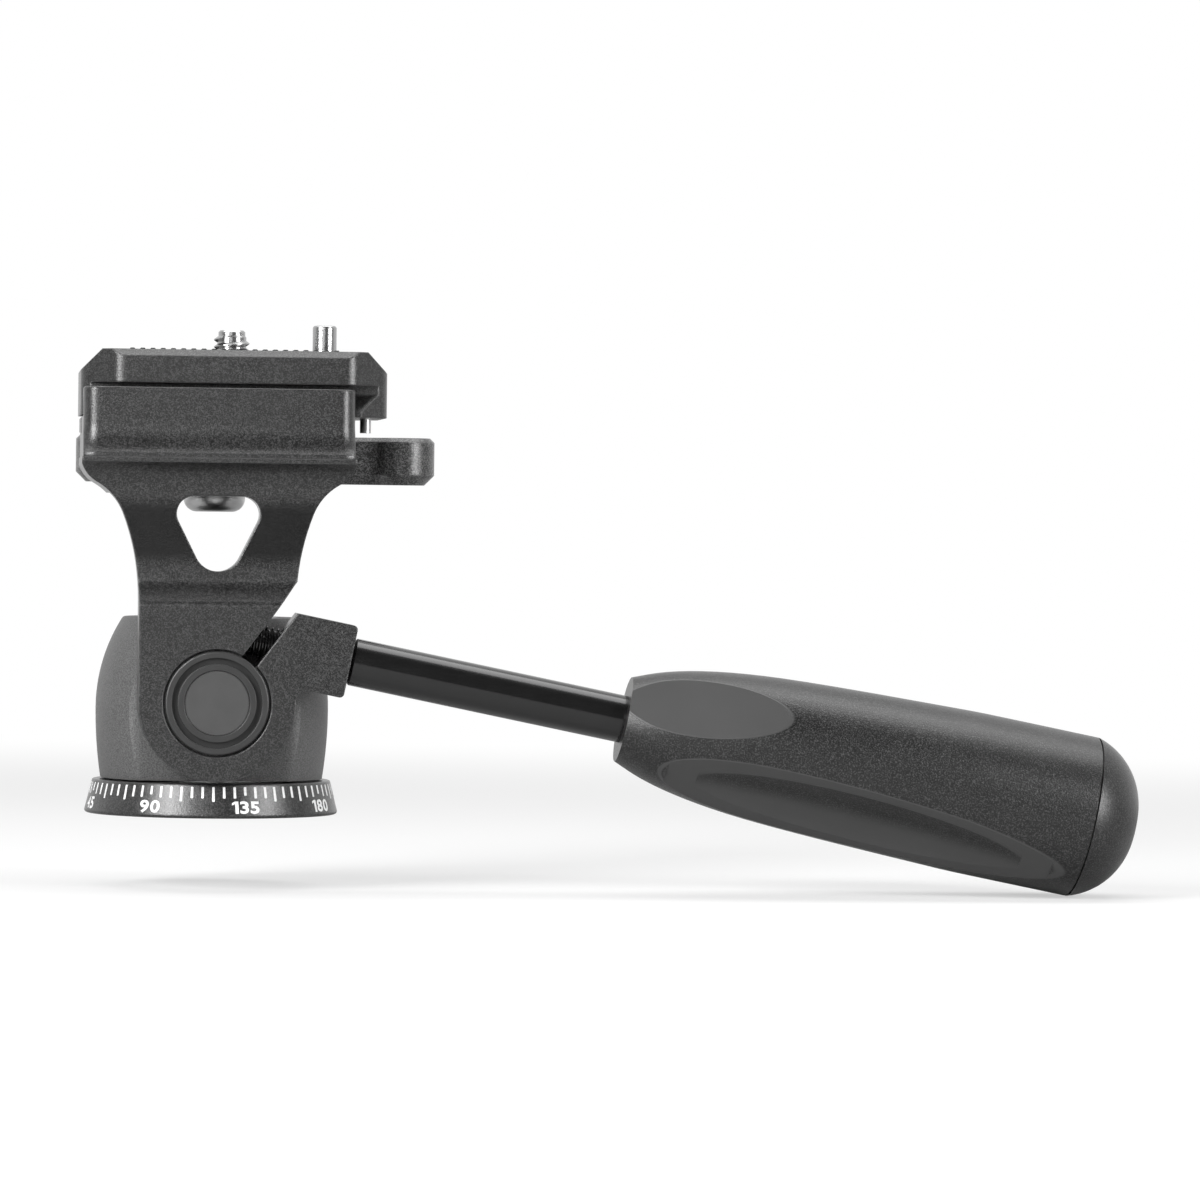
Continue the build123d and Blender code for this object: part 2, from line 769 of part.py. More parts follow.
with BuildPart() as clamp_dowels:
    with BuildSketch(Plane.XY.offset(platform_top - dowel_length / 2)):
        with Locations((-dowel_half_pitch, -dowel_reach), (dowel_half_pitch, -dowel_reach)):
            Circle(dowel_radius)
    extrude(amount=dowel_length)
keep(clamp_dowels, "clamp_dowels")


# Moving jaw, driven across by the lever's eccentric shaft

eccentric_x = lever_pivot_x + eccentric_throw * cos(radians(eccentric_start_angle))
eccentric_y = lever_pivot_reach + eccentric_throw * sin(radians(eccentric_start_angle))
eccentric_wander = eccentric_throw - eccentric_throw * cos(radians(eccentric_start_angle))
with BuildPart() as moving_jaw:
    with BuildSketch(Plane.YZ):
        with BuildLine():
            Polyline(
                (plate_flange_half + slide_gap, jaw_foot),
                (moving_jaw_reach, jaw_foot),
                (moving_jaw_reach, jaw_top),
                (plate_neck_half + slide_gap, jaw_top),
                (plate_neck_half + slide_gap, undercut_high),
                (plate_flange_half + slide_gap, undercut_low),
                close=True,
            )
        make_face()
    extrude(amount=jaw_half, both=True)
    outer_corners = moving_jaw.edges().filter_by(Axis.Z).group_by(Axis.Y)[-1]
    fillet(outer_corners, clamp_corner_round)
    fillet(moving_jaw.faces().sort_by(Axis.Z)[-1].edges(), jaw_edge_round)
    with BuildSketch(Plane.XZ.offset(-moving_jaw_reach + clamp_corner_round)):
        with Locations(*key_places):
            Polygon(*key_outline(0), align=None)
    extrude(amount=moving_jaw_reach - clamp_corner_round - plate_flange_half - slide_gap)
    with BuildSketch(Plane.XY.offset(jaw_foot)):
        with Locations((eccentric_x + eccentric_wander / 2, eccentric_y)):
            SlotCenterToCenter(eccentric_wander + 2 * clear_gap, 2 * (eccentric_radius + eccentric_play))
    extrude(amount=eccentric_height + clear_gap, mode=Mode.SUBTRACT)
keep(moving_jaw, "moving_jaw")

lever_tip = (lever_tip_x, lever_pivot_reach + lever_tip_offset)
with BuildPart() as clamp_lever:
    with BuildSketch(Plane.XY.offset(lever_bottom)) as lever_plan:
        with Locations(lever_pivot):
            Circle(lever_hub_radius)
        with Locations(lever_tip):
            Circle(lever_tip_radius)
        with BuildLine():
            waist_y = lever_pivot_reach + lever_tip_offset
            inner = Line(
                (lever_pivot_x, lever_pivot_reach - lever_hub_radius),
                (lever_waist_x, waist_y - lever_waist_half),
            )
            outer = Line(
                (lever_waist_x, waist_y + lever_waist_half),
                (lever_pivot_x, lever_pivot_reach + lever_hub_radius),
            )
            neck_in = Line(inner @ 1, (lever_tip_x, waist_y - lever_waist_half))
            neck_end = Line(neck_in @ 1, (lever_tip_x, waist_y + lever_waist_half))
            neck_out = Line(neck_end @ 1, outer @ 0)
            Line(outer @ 1, inner @ 0)
        make_face()
        tip_joint_x = lever_tip_x - sqrt(lever_tip_radius**2 - lever_waist_half**2)
        for side in (-1, 1):
            joint = (tip_joint_x, waist_y + side * lever_waist_half, lever_bottom)
            fillet(lever_plan.vertices().sort_by_distance(joint)[0], lever_waist_half)
    extrude(amount=lever_thickness)
    chamfer(clamp_lever.faces().sort_by(Axis.Z)[-1].edges(), lever_top_chamfer)
    chamfer(clamp_lever.faces().sort_by(Axis.Z)[0].edges(), lever_bottom_chamfer)
    with BuildSketch(Plane.XY.offset(lever_bottom)):
        with Locations(lever_pivot):
            Rectangle(shaft_drive_width + 2 * seat_fit, shaft_drive_width + 2 * seat_fit)
    extrude(amount=lever_thickness, mode=Mode.SUBTRACT)
    with BuildSketch(Plane.XY.offset(lever_bottom)):
        with Locations(lever_pivot):
            Circle(lever_screw_head_radius + slide_gap)
    extrude(amount=lever_screw_head_height + lever_screw_sunk, mode=Mode.SUBTRACT)
keep(clamp_lever, "clamp_lever")

drive_bottom = lever_bottom + lever_screw_head_height + lever_screw_sunk
with BuildPart() as lever_shaft:
    with BuildSketch(Plane.XY.offset(drive_bottom)):
        with Locations(lever_pivot):
            Rectangle(shaft_drive_width, shaft_drive_width)
    extrude(amount=lever_top - drive_bottom)
    with BuildSketch(Plane.XY.offset(lever_top)):
        with Locations(lever_pivot):
            Circle(shaft_radius)
    extrude(amount=floor_top - lever_top)
    with BuildSketch(Plane.XY.offset(floor_top)):
        with Locations((eccentric_x, eccentric_y)):
            Circle(eccentric_radius)
    extrude(amount=eccentric_height)
    with BuildSketch(Plane.XY.offset(floor_top - shaft_clip_pocket_depth)):
        with Locations(lever_pivot):
            Circle(shaft_radius + overrun)
            Circle(shaft_radius - clip_groove_depth, mode=Mode.SUBTRACT)
    extrude(amount=shaft_clip_sheet, mode=Mode.SUBTRACT)
    with BuildSketch(Plane.XY.offset(drive_bottom)):
        with Locations(lever_pivot):
            Circle(lever_screw_radius + seat_fit)
    extrude(amount=lever_screw_bite + clear_gap, mode=Mode.SUBTRACT)
keep(lever_shaft, "lever_shaft")

with BuildPart() as shaft_clip:
    with BuildSketch(Plane.XY.offset(floor_top - shaft_clip_pocket_depth)):
        with Locations(lever_pivot):
            Circle(shaft_clip_radius)
            Circle(shaft_radius - clip_groove_depth + seat_fit, mode=Mode.SUBTRACT)
            Rectangle(clip_mouth, 2 * shaft_clip_radius, align=(Align.CENTER, Align.MIN), mode=Mode.SUBTRACT)
    extrude(amount=shaft_clip_sheet)
keep(shaft_clip, "shaft_clip")

with BuildPart() as lever_washer:
    with BuildSketch(Plane.XY.offset(lever_top)):
        with Locations(lever_pivot):
            Circle(lever_hub_radius - lever_top_chamfer)
            Circle(shaft_radius + seat_fit, mode=Mode.SUBTRACT)
    extrude(amount=lever_washer_sheet)
keep(lever_washer, "lever_washer")

with BuildPart() as lever_screw:
    with BuildSketch(Plane.XY.offset(lever_bottom + lever_screw_sunk)):
        with Locations(lever_pivot):
            Circle(lever_screw_head_radius)
    extrude(amount=lever_screw_head_height)
    with BuildSketch(Plane.XY.offset(drive_bottom)):
        with Locations(lever_pivot):
            Circle(lever_screw_radius)
    extrude(amount=lever_screw_bite)
    with BuildSketch(Plane.XY.offset(lever_bottom + lever_screw_sunk)):
        with Locations(lever_pivot):
            RegularPolygon(lever_screw_radius, side_count=6)
    extrude(amount=lever_screw_head_height / 2, mode=Mode.SUBTRACT)
keep(lever_screw, "lever_screw")


# Camera plate, which slides along the clamp

head_bottom = plate_bottom + camera_head_sunk
head_top = head_bottom + camera_head_height
collar_top = plate_top - guide_pin_roof
collar_bottom = collar_top - guide_pin_collar_height
with BuildPart() as camera_plate:
    with BuildSketch(Plane.YZ.offset(plate_shift - plate_length / 2)):
        with BuildLine():
            Polyline(
                (0, plate_bottom),
                (-plate_flange_half, plate_bottom),
                (-plate_flange_half, plate_flange_top),
                (-plate_neck_half, plate_flange_top + plate_dovetail),
                (-plate_neck_half, plate_neck_top),
                (-plate_top_half, plate_neck_top),
                (-plate_top_half, plate_top - plate_side_chamfer),
                (-plate_top_half + plate_side_chamfer, plate_top),
                (0, plate_top),
            )
            mirror(about=Plane.YZ)
        make_face()
    extrude(amount=plate_length)
    with BuildSketch(Plane.XZ.offset(-2 * plate_top_half)):
        with Locations((plate_shift, 0)):
            Polygon(
                (-plate_length / 2, plate_bottom - overrun),
                (plate_length / 2, plate_bottom - overrun),
                (plate_length / 2, plate_top - plate_end_chamfer),
                (plate_length / 2 - plate_end_chamfer, plate_top),
                (plate_end_chamfer - plate_length / 2, plate_top),
                (-plate_length / 2, plate_top - plate_end_chamfer),
                align=None,
            )
    extrude(amount=4 * plate_top_half, mode=Mode.INTERSECT)
    with BuildSketch(Plane.XY.offset(plate_bottom - overrun)) as plate_plan:
        with Locations(plate_centre):
            Rectangle(plate_length, 2 * plate_top_half)
        chamfer(plate_plan.vertices(), plate_corner_clip)
        fillet(plate_plan.vertices(), plate_corner_round)
    extrude(amount=plate_top - plate_bottom + 2 * overrun, mode=Mode.INTERSECT)
    with BuildSketch(Plane.XY.offset(plate_top - pad_sheet)) as pad_pocket:
        with Locations(plate_centre):
            Rectangle(2 * pad_half, 2 * pad_side_half)
        fillet(pad_pocket.vertices(), plate_corner_round)
    extrude(amount=pad_sheet + overrun, mode=Mode.SUBTRACT)
    with Locations((*plate_centre, plate_bottom)):
        Cylinder(
            camera_head_radius + clear_gap,
            head_top - plate_bottom + slide_gap,
            align=(Align.CENTER, Align.CENTER, Align.MIN),
            mode=Mode.SUBTRACT,
        )
        Cylinder(
            camera_thread_radius + running_fit,
            plate_top - plate_bottom,
            align=(Align.CENTER, Align.CENTER, Align.MIN),
            mode=Mode.SUBTRACT,
        )
    with Locations((*plate_centre, plate_top)):
        Cylinder(
            clip_pocket_radius,
            clip_pocket_depth,
            align=(Align.CENTER, Align.CENTER, Align.MAX),
            mode=Mode.SUBTRACT,
        )
    with Locations((*guide_pin_centre, plate_bottom)):
        Cylinder(
            guide_pin_collar_radius + running_fit,
            collar_top - plate_bottom,
            align=(Align.CENTER, Align.CENTER, Align.MIN),
            mode=Mode.SUBTRACT,
        )
        Cylinder(
            guide_pin_radius + running_fit,
            plate_top - plate_bottom,
            align=(Align.CENTER, Align.CENTER, Align.MIN),
            mode=Mode.SUBTRACT,
        )
    for side in (-1, 1):
        with Locations((plate_shift + side * stop_pin_place, 0, plate_bottom)):
            Cylinder(
                stop_pin_radius + seat_fit,
                stop_pin_bite,
                align=(Align.CENTER, Align.CENTER, Align.MIN),
                mode=Mode.SUBTRACT,
            )
keep(camera_plate, "camera_plate")

ridge_count = int(2 * (pad_half - ridge_pitch) / ridge_pitch) + 1
with BuildPart() as grip_pad:
    with BuildSketch(Plane.XY.offset(plate_top - pad_sheet)) as pad_plan:
        with Locations(plate_centre):
            Rectangle(2 * (pad_half - seat_fit), 2 * (pad_side_half - seat_fit))
        fillet(pad_plan.vertices(), plate_corner_round)
    extrude(amount=pad_sheet)
    with BuildSketch(Plane.XZ.offset(-pad_side_half + plate_corner_round)):
        with Locations((plate_shift, plate_top)):
            with GridLocations(ridge_pitch, 0, ridge_count, 1):
                Trapezoid(
                    ridge_pitch * ridge_foot_share,
                    ridge_height,
                    degrees(atan2(ridge_height, ridge_pitch * (ridge_foot_share - ridge_crest_share) / 2)),
                    align=(Align.CENTER, Align.MIN),
                )
    extrude(amount=2 * (pad_side_half - plate_corner_round))
    with Locations((*plate_centre, plate_top)):
        Cylinder(clip_pocket_radius, 2 * overrun, mode=Mode.SUBTRACT)
    with Locations((*guide_pin_centre, plate_top)):
        Cylinder(guide_pin_radius + clear_gap, 2 * overrun, mode=Mode.SUBTRACT)
keep(grip_pad, "grip_pad")

with BuildPart() as stop_pins:
    for side in (-1, 1):
        with Locations((plate_shift + side * stop_pin_place, 0, plate_bottom - stop_pin_drop)):
            Cylinder(
                stop_pin_radius,
                stop_pin_drop + stop_pin_bite,
                align=(Align.CENTER, Align.CENTER, Align.MIN),
            )
keep(stop_pins, "stop_pins")

with BuildPart() as pin_plug:
    with BuildSketch(Plane.XY.offset(plate_bottom)):
        with Locations(guide_pin_centre):
            Circle(guide_pin_collar_radius + running_fit - seat_fit)
    extrude(amount=pin_plug_height)
keep(pin_plug, "pin_plug")

with BuildPart() as pin_spring:
    with BuildSketch(Plane.XY.offset(plate_bottom + pin_plug_height)):
        with Locations(guide_pin_centre):
            Circle(guide_pin_collar_radius - clear_gap)
            Circle(guide_pin_collar_radius - clear_gap - pin_spring_sheet, mode=Mode.SUBTRACT)
    extrude(amount=collar_bottom - plate_bottom - pin_plug_height)
keep(pin_spring, "pin_spring")

with BuildPart() as guide_pin:
    with BuildSketch(Plane.XY.offset(collar_bottom)):
        with Locations(guide_pin_centre):
            Circle(guide_pin_collar_radius)
    extrude(amount=guide_pin_collar_height - slide_gap)
    with BuildSketch(Plane.XY.offset(collar_bottom)):
        with Locations(guide_pin_centre):
            Circle(guide_pin_radius)
    extrude(amount=guide_pin_top - collar_bottom)
    fillet(guide_pin.edges().group_by(Axis.Z)[-1], guide_pin_round)
keep(guide_pin, "guide_pin")

clip_floor = plate_top - clip_pocket_depth + slide_gap
with BuildPart() as camera_screw:
    with BuildSketch(Plane.XY.offset(head_bottom)):
        with Locations(plate_centre):
            Circle(camera_head_radius)
    extrude(amount=camera_head_height)
    chamfer(camera_screw.edges().group_by(Axis.Z)[0], edge_break)
    with BuildSketch(Plane.XY.offset(head_bottom)):
        with Locations(plate_centre):
            Circle(camera_thread_radius)
    extrude(amount=camera_screw_top - head_bottom)
    chamfer(camera_screw.edges().group_by(Axis.Z)[-1], camera_screw_tip_chamfer)
    with BuildSketch(Plane.XY.offset(head_bottom)):
        with Locations(plate_centre):
            Rectangle(2 * camera_head_radius, camera_coin_slot_width)
    extrude(amount=camera_coin_slot_depth, mode=Mode.SUBTRACT)
    with BuildSketch(Plane.XY.offset(clip_floor)):
        with Locations(plate_centre):
            Circle(camera_thread_radius + overrun)
            Circle(camera_thread_radius - clip_groove_depth, mode=Mode.SUBTRACT)
    extrude(amount=clip_sheet, mode=Mode.SUBTRACT)
keep(camera_screw, "camera_screw")

with BuildPart() as screw_clip:
    with BuildSketch(Plane.XY.offset(clip_floor)):
        with Locations(plate_centre):
            Circle(clip_radius)
            Circle(camera_thread_radius - clip_groove_depth + seat_fit, mode=Mode.SUBTRACT)
            Rectangle(clip_mouth, 2 * clip_radius, align=(Align.CENTER, Align.MIN), mode=Mode.SUBTRACT)
    extrude(amount=clip_sheet)
keep(screw_clip, "screw_clip")


# Handle: its screw end closes the split yoke on the hub

rod_shoulder = block_reach + slide_gap
with BuildPart() as handle_rod:
    with BuildSketch(handle_cross.offset(rod_screw_start)):
        Circle(rod_screw_radius)
    extrude(amount=rod_shoulder - rod_screw_start)
    with BuildSketch(handle_cross.offset(rod_shoulder)):
        Circle(rod_radius)
    extrude(amount=grip_start + rod_in_grip - rod_shoulder)
    ends = handle_rod.edges().filter_by(GeomType.CIRCLE).sort_by(handle_axis)
    chamfer([ends[0], ends[-1]], rod_chamfer)
keep(handle_rod, "handle_rod")


def grip_side_plane(turn, side):
    """Plane through the handle's axis, its second direction turned up from the horizontal on one side."""
    outward = Vector(0, -side * cos(radians(turn)), 0) + handle_rise * sin(radians(turn))
    origin = handle_origin + handle_direction * grip_start
    return Plane(origin=origin, x_dir=handle_direction, z_dir=handle_direction.cross(outward))


grip_end = grip_start + grip_length
with BuildPart() as grip:
    with BuildSketch(handle_section):
        with BuildLine():
            shape = [(grip_start, grip_mouth_radius)]
            shape += [(grip_start + p, r) for p, r in zip(grip_shape_places, grip_shape_radii)]
            shape += [(grip_end, grip_end_radius)]
            nose_slope = (grip_shape_places[0], grip_shape_radii[0] - grip_mouth_radius)
            skin = Spline(*shape, tangents=[nose_slope, (1, 0)])
            Polyline(
                skin @ 1,
                (grip_end, grip_spigot_radius + seat_fit),
                (grip_end - grip_spigot_length - clear_gap, grip_spigot_radius + seat_fit),
                (grip_end - grip_spigot_length - clear_gap, 0),
                (grip_start + rod_in_grip, 0),
                (grip_start + rod_in_grip, rod_radius + seat_fit),
                (grip_start, rod_radius + seat_fit),
                skin @ 0,
            )
        make_face()
    revolve(axis=handle_axis)
    for side in (-1, 1):
        with BuildSketch(grip_side_plane(thumb_turn, side)):
            with Locations((thumb_place, thumb_reach)):
                Rectangle(grip_length, grip_end_radius, align=(Align.CENTER, Align.MIN), rotation=thumb_slope)
        extrude(amount=grip_end_radius, both=True, mode=Mode.SUBTRACT)
        with BuildSketch(grip_side_plane(leaf_turn, side)):
            with BuildLine():
                leaf = ThreePointArc(*zip(leaf_places, leaf_reaches))
                Polyline(
                    leaf @ 1,
                    (leaf_places[2], groove_axis_reach),
                    (leaf_places[0], groove_axis_reach),
                    leaf @ 0,
                )
            make_face()
        extrude(amount=grip_end_radius, both=True, mode=Mode.SUBTRACT)
        side_plane = grip_side_plane(leaf_turn, side)
        with BuildSketch(side_plane):
            with BuildLine():
                groove = ThreePointArc(*zip(groove_places, groove_reaches))
                Polyline(
                    groove @ 1,
                    (groove_places[2], groove_axis_reach),
                    (groove_places[0], groove_axis_reach),
                    groove @ 0,
                )
            make_face()
        revolve(
            axis=Axis(side_plane.from_local_coords((0, groove_axis_reach)), handle_direction),
            mode=Mode.SUBTRACT,
        )
keep(grip, "grip")

with BuildPart() as grip_end_cap:
    with BuildSketch(handle_section):
        with BuildLine():
            cap_start = grip_end + end_cap_seam
            cap_end = grip_end + end_cap_length
            bulge = (
                cap_start + (cap_end - cap_start) * end_cap_bulge_share,
                end_cap_face_radius + (grip_end_radius - end_cap_face_radius) * end_cap_bulge_share,
            )
            dome = ThreePointArc((cap_start, grip_end_radius), bulge, (cap_end, end_cap_face_radius))
            Polyline(
                dome @ 1,
                (cap_end, 0),
                (grip_end - grip_spigot_length, 0),
                (grip_end - grip_spigot_length, grip_spigot_radius),
                (grip_end, grip_spigot_radius),
                (grip_end, grip_end_radius - end_cap_seam_depth),
                (cap_start, grip_end_radius - end_cap_seam_depth),
                dome @ 0,
            )
        make_face()
    revolve(axis=handle_axis)
keep(grip_end_cap, "grip_end_cap")
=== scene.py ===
"""Looks of a small pan and tilt head: finishes, scale print, threads, spring coils and clamp front."""
import json
from functools import reduce
from math import atan2, cos, hypot, pi, radians, sin, tan

import bpy
from mathutils import Matrix, Vector


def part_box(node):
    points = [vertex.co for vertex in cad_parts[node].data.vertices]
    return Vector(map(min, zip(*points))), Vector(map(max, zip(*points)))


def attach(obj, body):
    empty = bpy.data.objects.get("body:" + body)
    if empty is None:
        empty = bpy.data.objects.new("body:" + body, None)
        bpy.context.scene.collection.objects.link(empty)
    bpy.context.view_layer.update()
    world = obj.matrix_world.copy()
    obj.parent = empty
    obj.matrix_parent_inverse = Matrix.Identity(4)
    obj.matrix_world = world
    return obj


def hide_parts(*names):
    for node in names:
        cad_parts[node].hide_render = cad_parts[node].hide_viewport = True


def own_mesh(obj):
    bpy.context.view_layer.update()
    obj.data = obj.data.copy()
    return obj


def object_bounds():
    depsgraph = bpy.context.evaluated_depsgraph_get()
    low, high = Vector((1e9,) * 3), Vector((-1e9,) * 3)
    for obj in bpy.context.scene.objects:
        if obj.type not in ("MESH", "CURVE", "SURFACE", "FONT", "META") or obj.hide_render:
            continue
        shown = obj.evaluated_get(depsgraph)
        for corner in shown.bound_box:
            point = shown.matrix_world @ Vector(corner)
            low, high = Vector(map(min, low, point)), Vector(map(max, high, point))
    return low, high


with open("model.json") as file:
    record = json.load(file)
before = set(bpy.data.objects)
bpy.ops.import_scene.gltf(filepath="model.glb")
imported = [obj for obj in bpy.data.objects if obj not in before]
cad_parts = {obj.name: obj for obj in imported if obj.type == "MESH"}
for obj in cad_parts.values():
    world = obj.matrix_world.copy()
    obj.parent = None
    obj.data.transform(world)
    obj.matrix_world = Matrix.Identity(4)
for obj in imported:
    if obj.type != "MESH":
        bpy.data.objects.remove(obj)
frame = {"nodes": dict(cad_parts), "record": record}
solid_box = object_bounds()
mm = 0.001

# Scale ring
ring_foot_radius = 22.7 * mm
ring_top_radius = 21.2 * mm
ring_height = 6.0 * mm
front_degree = 121.0
full_turn = 360
tick_step = 5
long_tick_step = 15
number_step = 45
print_height = 0.04 * mm
tick_start = 0.45 * mm
tick_width = 0.46 * mm
tick_end_round = 0.115 * mm
tick_lengths = {"number": 1.55 * mm, "long": 2.65 * mm, "short": 2.05 * mm}
number_size = 2.95 * mm
number_stretch = 1.28
number_drop = 4.15 * mm
number_weight = 0.09 * mm
number_curve_steps = 4
digit_gap = 0.22 * mm
one_flag_width = 0.42 * mm
one_flag_height = 0.42 * mm
one_flag_drop = 0.28 * mm

# Handle
pivot_height = 20.3 * mm
arm_middle = 19.8 * mm
handle_angle = radians(11.4)
handle_offset = 11.95 * mm
rod_radius = 4.2 * mm
rod_screw_radius = 3.0 * mm
rod_screw_core = 2.4 * mm
rod_screw_pitch = 1.0 * mm
rod_low = -6.0 * mm
rod_shoulder = 21.5 * mm
rod_high = 112.9 * mm
rod_chamfer = 0.5 * mm
grip_start = 70.9 * mm
thumb_place = 14.6 * mm
thumb_reach = 10.35 * mm
thumb_slope = radians(11.7)
thumb_turn = radians(29.0)
leaf_turn = radians(-46.0)
leaf_arc = ((8.5 * mm, 10.25 * mm), (43.6 * mm, 11.65 * mm), (78.7 * mm, 14.25 * mm))
groove_arc = ((14.1 * mm, 10.3 * mm), (43.6 * mm, 10.75 * mm), (73.1 * mm, 13.65 * mm))
groove_axis_reach = 30.0 * mm

# Yoke and pivot cap
# Between these heights the yoke's neck is smoother, and its colour darker as painted shade
neck_heights = (45.0 * mm, 53.5 * mm)
neck_fade = 4.0 * mm
neck_smoothness_and_shade = 0.8
cap_groove_radii = (6.85 * mm, 7.95 * mm)

# Clamp
jaw_face_reach = 23.0 * mm
jaw_corner_round = 2.8 * mm
jaw_edge_round = 0.4 * mm
foot_lip_height = 0.7 * mm
foot_cove_rise = 5.3 * mm
overrun = 1.0 * mm
foot_inset = 0.005 * mm
turning_clearance = 0.02 * mm

# Camera screw and guide pin spring
plate_shift = 2.8 * mm
camera_screw_radius = 3.175 * mm
camera_screw_core = 2.6 * mm
camera_screw_pitch = 1.27 * mm
camera_screw_top = 86.2 * mm
camera_tip_radius = 2.4 * mm
camera_tip_length = 0.95 * mm
camera_tip_chamfer = 0.3 * mm
camera_head_radius = 7.5 * mm
camera_head_low = 71.1 * mm
camera_head_high = 74.7 * mm
camera_head_chamfer = 0.35 * mm
clip_groove_low = 80.1 * mm
clip_groove_high = 80.8 * mm
clip_groove_radius = 2.925 * mm
coin_slot_width = 1.8 * mm
coin_slot_depth = 1.4 * mm
spring_coils = 5
spring_wire_radius = 0.22 * mm

# Thread ridges: shares of the pitch, and how far the root sinks into the core
ridge_root = 0.9
ridge_crest = 0.144
camera_thread_start = 0.45
camera_thread_end = 0.4
ridge_sink = 0.1 * mm

# Fineness of round pieces
turned_sides = 64
corner_sides = 128
cove_sides = 360
clearance_sides = 96
spring_wire_sides = 10
helix_steps = 40
outline_steps = 8
smooth_angle = radians(28)
merge_distance = 0.001 * mm

# Finishes: grey levels from dark to light, depths of relief, and where one finish fades into another
black_dark = 0.003
black_light = 0.046
# The lever's black is painted lighter than the other black pieces, as painted light on its front
lever_painted_light = 0.15
cap_dark = 0.004
hub_cap_light = 0.035
cap_disc_light = 0.072
grey_levels = (0.028, 0.12)
grip_levels = (0.003, 0.12)
rod_levels = (0.003, 0.007)
white_levels = (0.62, 0.8)
brass_colours = ((0.6, 0.43, 0.18), (0.74, 0.55, 0.26))
blast_depth = 0.09 * mm
spray_depth = 0.08 * mm
grip_grain_depth = 0.09 * mm
plastic_grain_depth = 0.05 * mm
pad_grain_depth = 0.03 * mm
tool_mark_depth = 0.01 * mm
tool_mark_squeeze = (1, 1, 40)
rod_line_squeeze = (0.03, 1, 1)
# Radius of the rounded-edge normal, which also marks the edges painted lighter as a painted highlight
edge_round_highlight_radius = 0.45 * mm
cap_edge_round_highlight_radius = 0.22 * mm
# Fades of the painted shade in the cap's groove
cap_groove_fade_in = 0.1 * mm
cap_groove_fade_out = 0.05 * mm
# Fades of the grip's smooth parts, which are painted lighter as a painted sheen
rim_fade = (0.05 * mm, 0.14 * mm)
groove_fade = 2.0 * mm

# Stage: sizes and places in metres, lamps in watts
floor_size = 8
floor_shift = 2.5
floor_gap = 0.3 * mm
floor_levels = (0.5, 0.85)
floor_white = 0.5
floor_white_reach = (0.25, 0.7)
floor_mirror_reach = (0.1, 0.5)
room_strength = 0.1
room_mirror_reach = (-0.5, 0.3)
lamps = {
    "left_lamp": {"place": (-0.48, -0.52, 0.3), "aim": (0, 0, 0.05), "size": (0.3, 0.5), "power": 7.5},
    "right_lamp": {"place": (0.62, -0.5, 0.2), "aim": (0.08, 0, 0.03), "size": (0.26, 0.45), "power": 5},
    "top_lamp": {"place": (0.06, 0.08, 0.65), "aim": (0.06, 0, 0.03), "size": (0.9, 0.4), "power": 3.4},
    "front_lamp": {"place": (-0.16, -0.85, 0.28), "aim": (0, 0, 0.05), "size": (0.3, 0.3), "power": 0.9},
}

# Camera, as it stood for the photo
camera_place = Vector((-40.66, -1074.13, 53.36)) * mm
camera_yaw = radians(-5.857)
camera_pitch = radians(0.774)
camera_roll = radians(0.711)
camera_lens = 180.0
camera_sensor = 36.0

handle_along = Vector((cos(handle_angle), 0, -sin(handle_angle)))
handle_rise = Vector((sin(handle_angle), 0, cos(handle_angle)))
handle_origin = Vector((0, -arm_middle, pivot_height)) + handle_rise * handle_offset

# Sockets that a Mix node uses for colours
mix_share, mix_dark, mix_light, mix_result = 0, 6, 7, 2


class Wire:
    """A socket of a material or of the surround. Sums add Math nodes, and node() adds any other."""

    def __init__(self, tree, socket=None):
        self.tree = tree
        self.socket = socket

    def node(self, kind, settings=None, sockets=None, output=0):
        """Add a node: its settings first, then the values or wires of its sockets."""
        made = self.tree.nodes.new(kind)
        for name, value in (settings or {}).items():
            setattr(made, name, value)
        for name, value in (sockets or {}).items():
            if isinstance(value, Wire):
                self.tree.links.new(value.socket, made.inputs[name])
            else:
                made.inputs[name].default_value = value
        return Wire(self.tree, made.outputs[output] if made.outputs else None)

    def maths(self, operation, *values):
        return self.node("ShaderNodeMath", {"operation": operation}, dict(enumerate(values)))

    def __add__(self, other):
        return self.maths("ADD", self, other)

    def __radd__(self, other):
        return self.maths("ADD", other, self)

    def __sub__(self, other):
        return self.maths("SUBTRACT", self, other)

    def __rsub__(self, other):
        return self.maths("SUBTRACT", other, self)

    def __mul__(self, other):
        return self.maths("MULTIPLY", self, other)

    def __rmul__(self, other):
        return self.maths("MULTIPLY", other, self)

    def __abs__(self):
        return self.maths("ABSOLUTE", self)

    def root(self):
        return self.maths("SQRT", self)

    def largest(self, other):
        return self.maths("MAXIMUM", self, other)

    def dot(self, direction):
        return self.node(
            "ShaderNodeVectorMath", {"operation": "DOT_PRODUCT"}, {0: self, 1: direction}, output="Value"
        )

    def length(self):
        return self.node("ShaderNodeVectorMath", {"operation": "LENGTH"}, {0: self}, output="Value")

    def part(self, axis):
        """The X, Y or Z of a place."""
        return self.node("ShaderNodeSeparateXYZ", sockets={"Vector": self}, output=axis)

    def between(self, low, high):
        """Nought below low, one above high, with a soft step from one to the other."""
        return self.node(
            "ShaderNodeMapRange",
            {"interpolation_type": "SMOOTHSTEP"},
            {"Value": self, "From Min": low, "From Max": high},
        )

    def tint(self, dark, light):
        """Colour that goes from dark to light as this wire goes from nought to one."""
        return self.node(
            "ShaderNodeMix",
            {"data_type": "RGBA"},
            {mix_share: self, mix_dark: colour(dark), mix_light: colour(light)},
            output=mix_result,
        )


def colour(level):
    """Grey of one level, or the red, green and blue that are given."""
    parts = level if isinstance(level, tuple) else (level, level, level)
    return (*parts, 1)


def new_finish(name):
    """Empty material, the wire that adds its nodes, and the place on the piece."""
    material = bpy.data.materials.new(name)
    material.use_nodes = True
    material.node_tree.nodes.clear()
    wire = Wire(material.node_tree)
    return material, wire, wire.node("ShaderNodeTexCoord", output="Object")


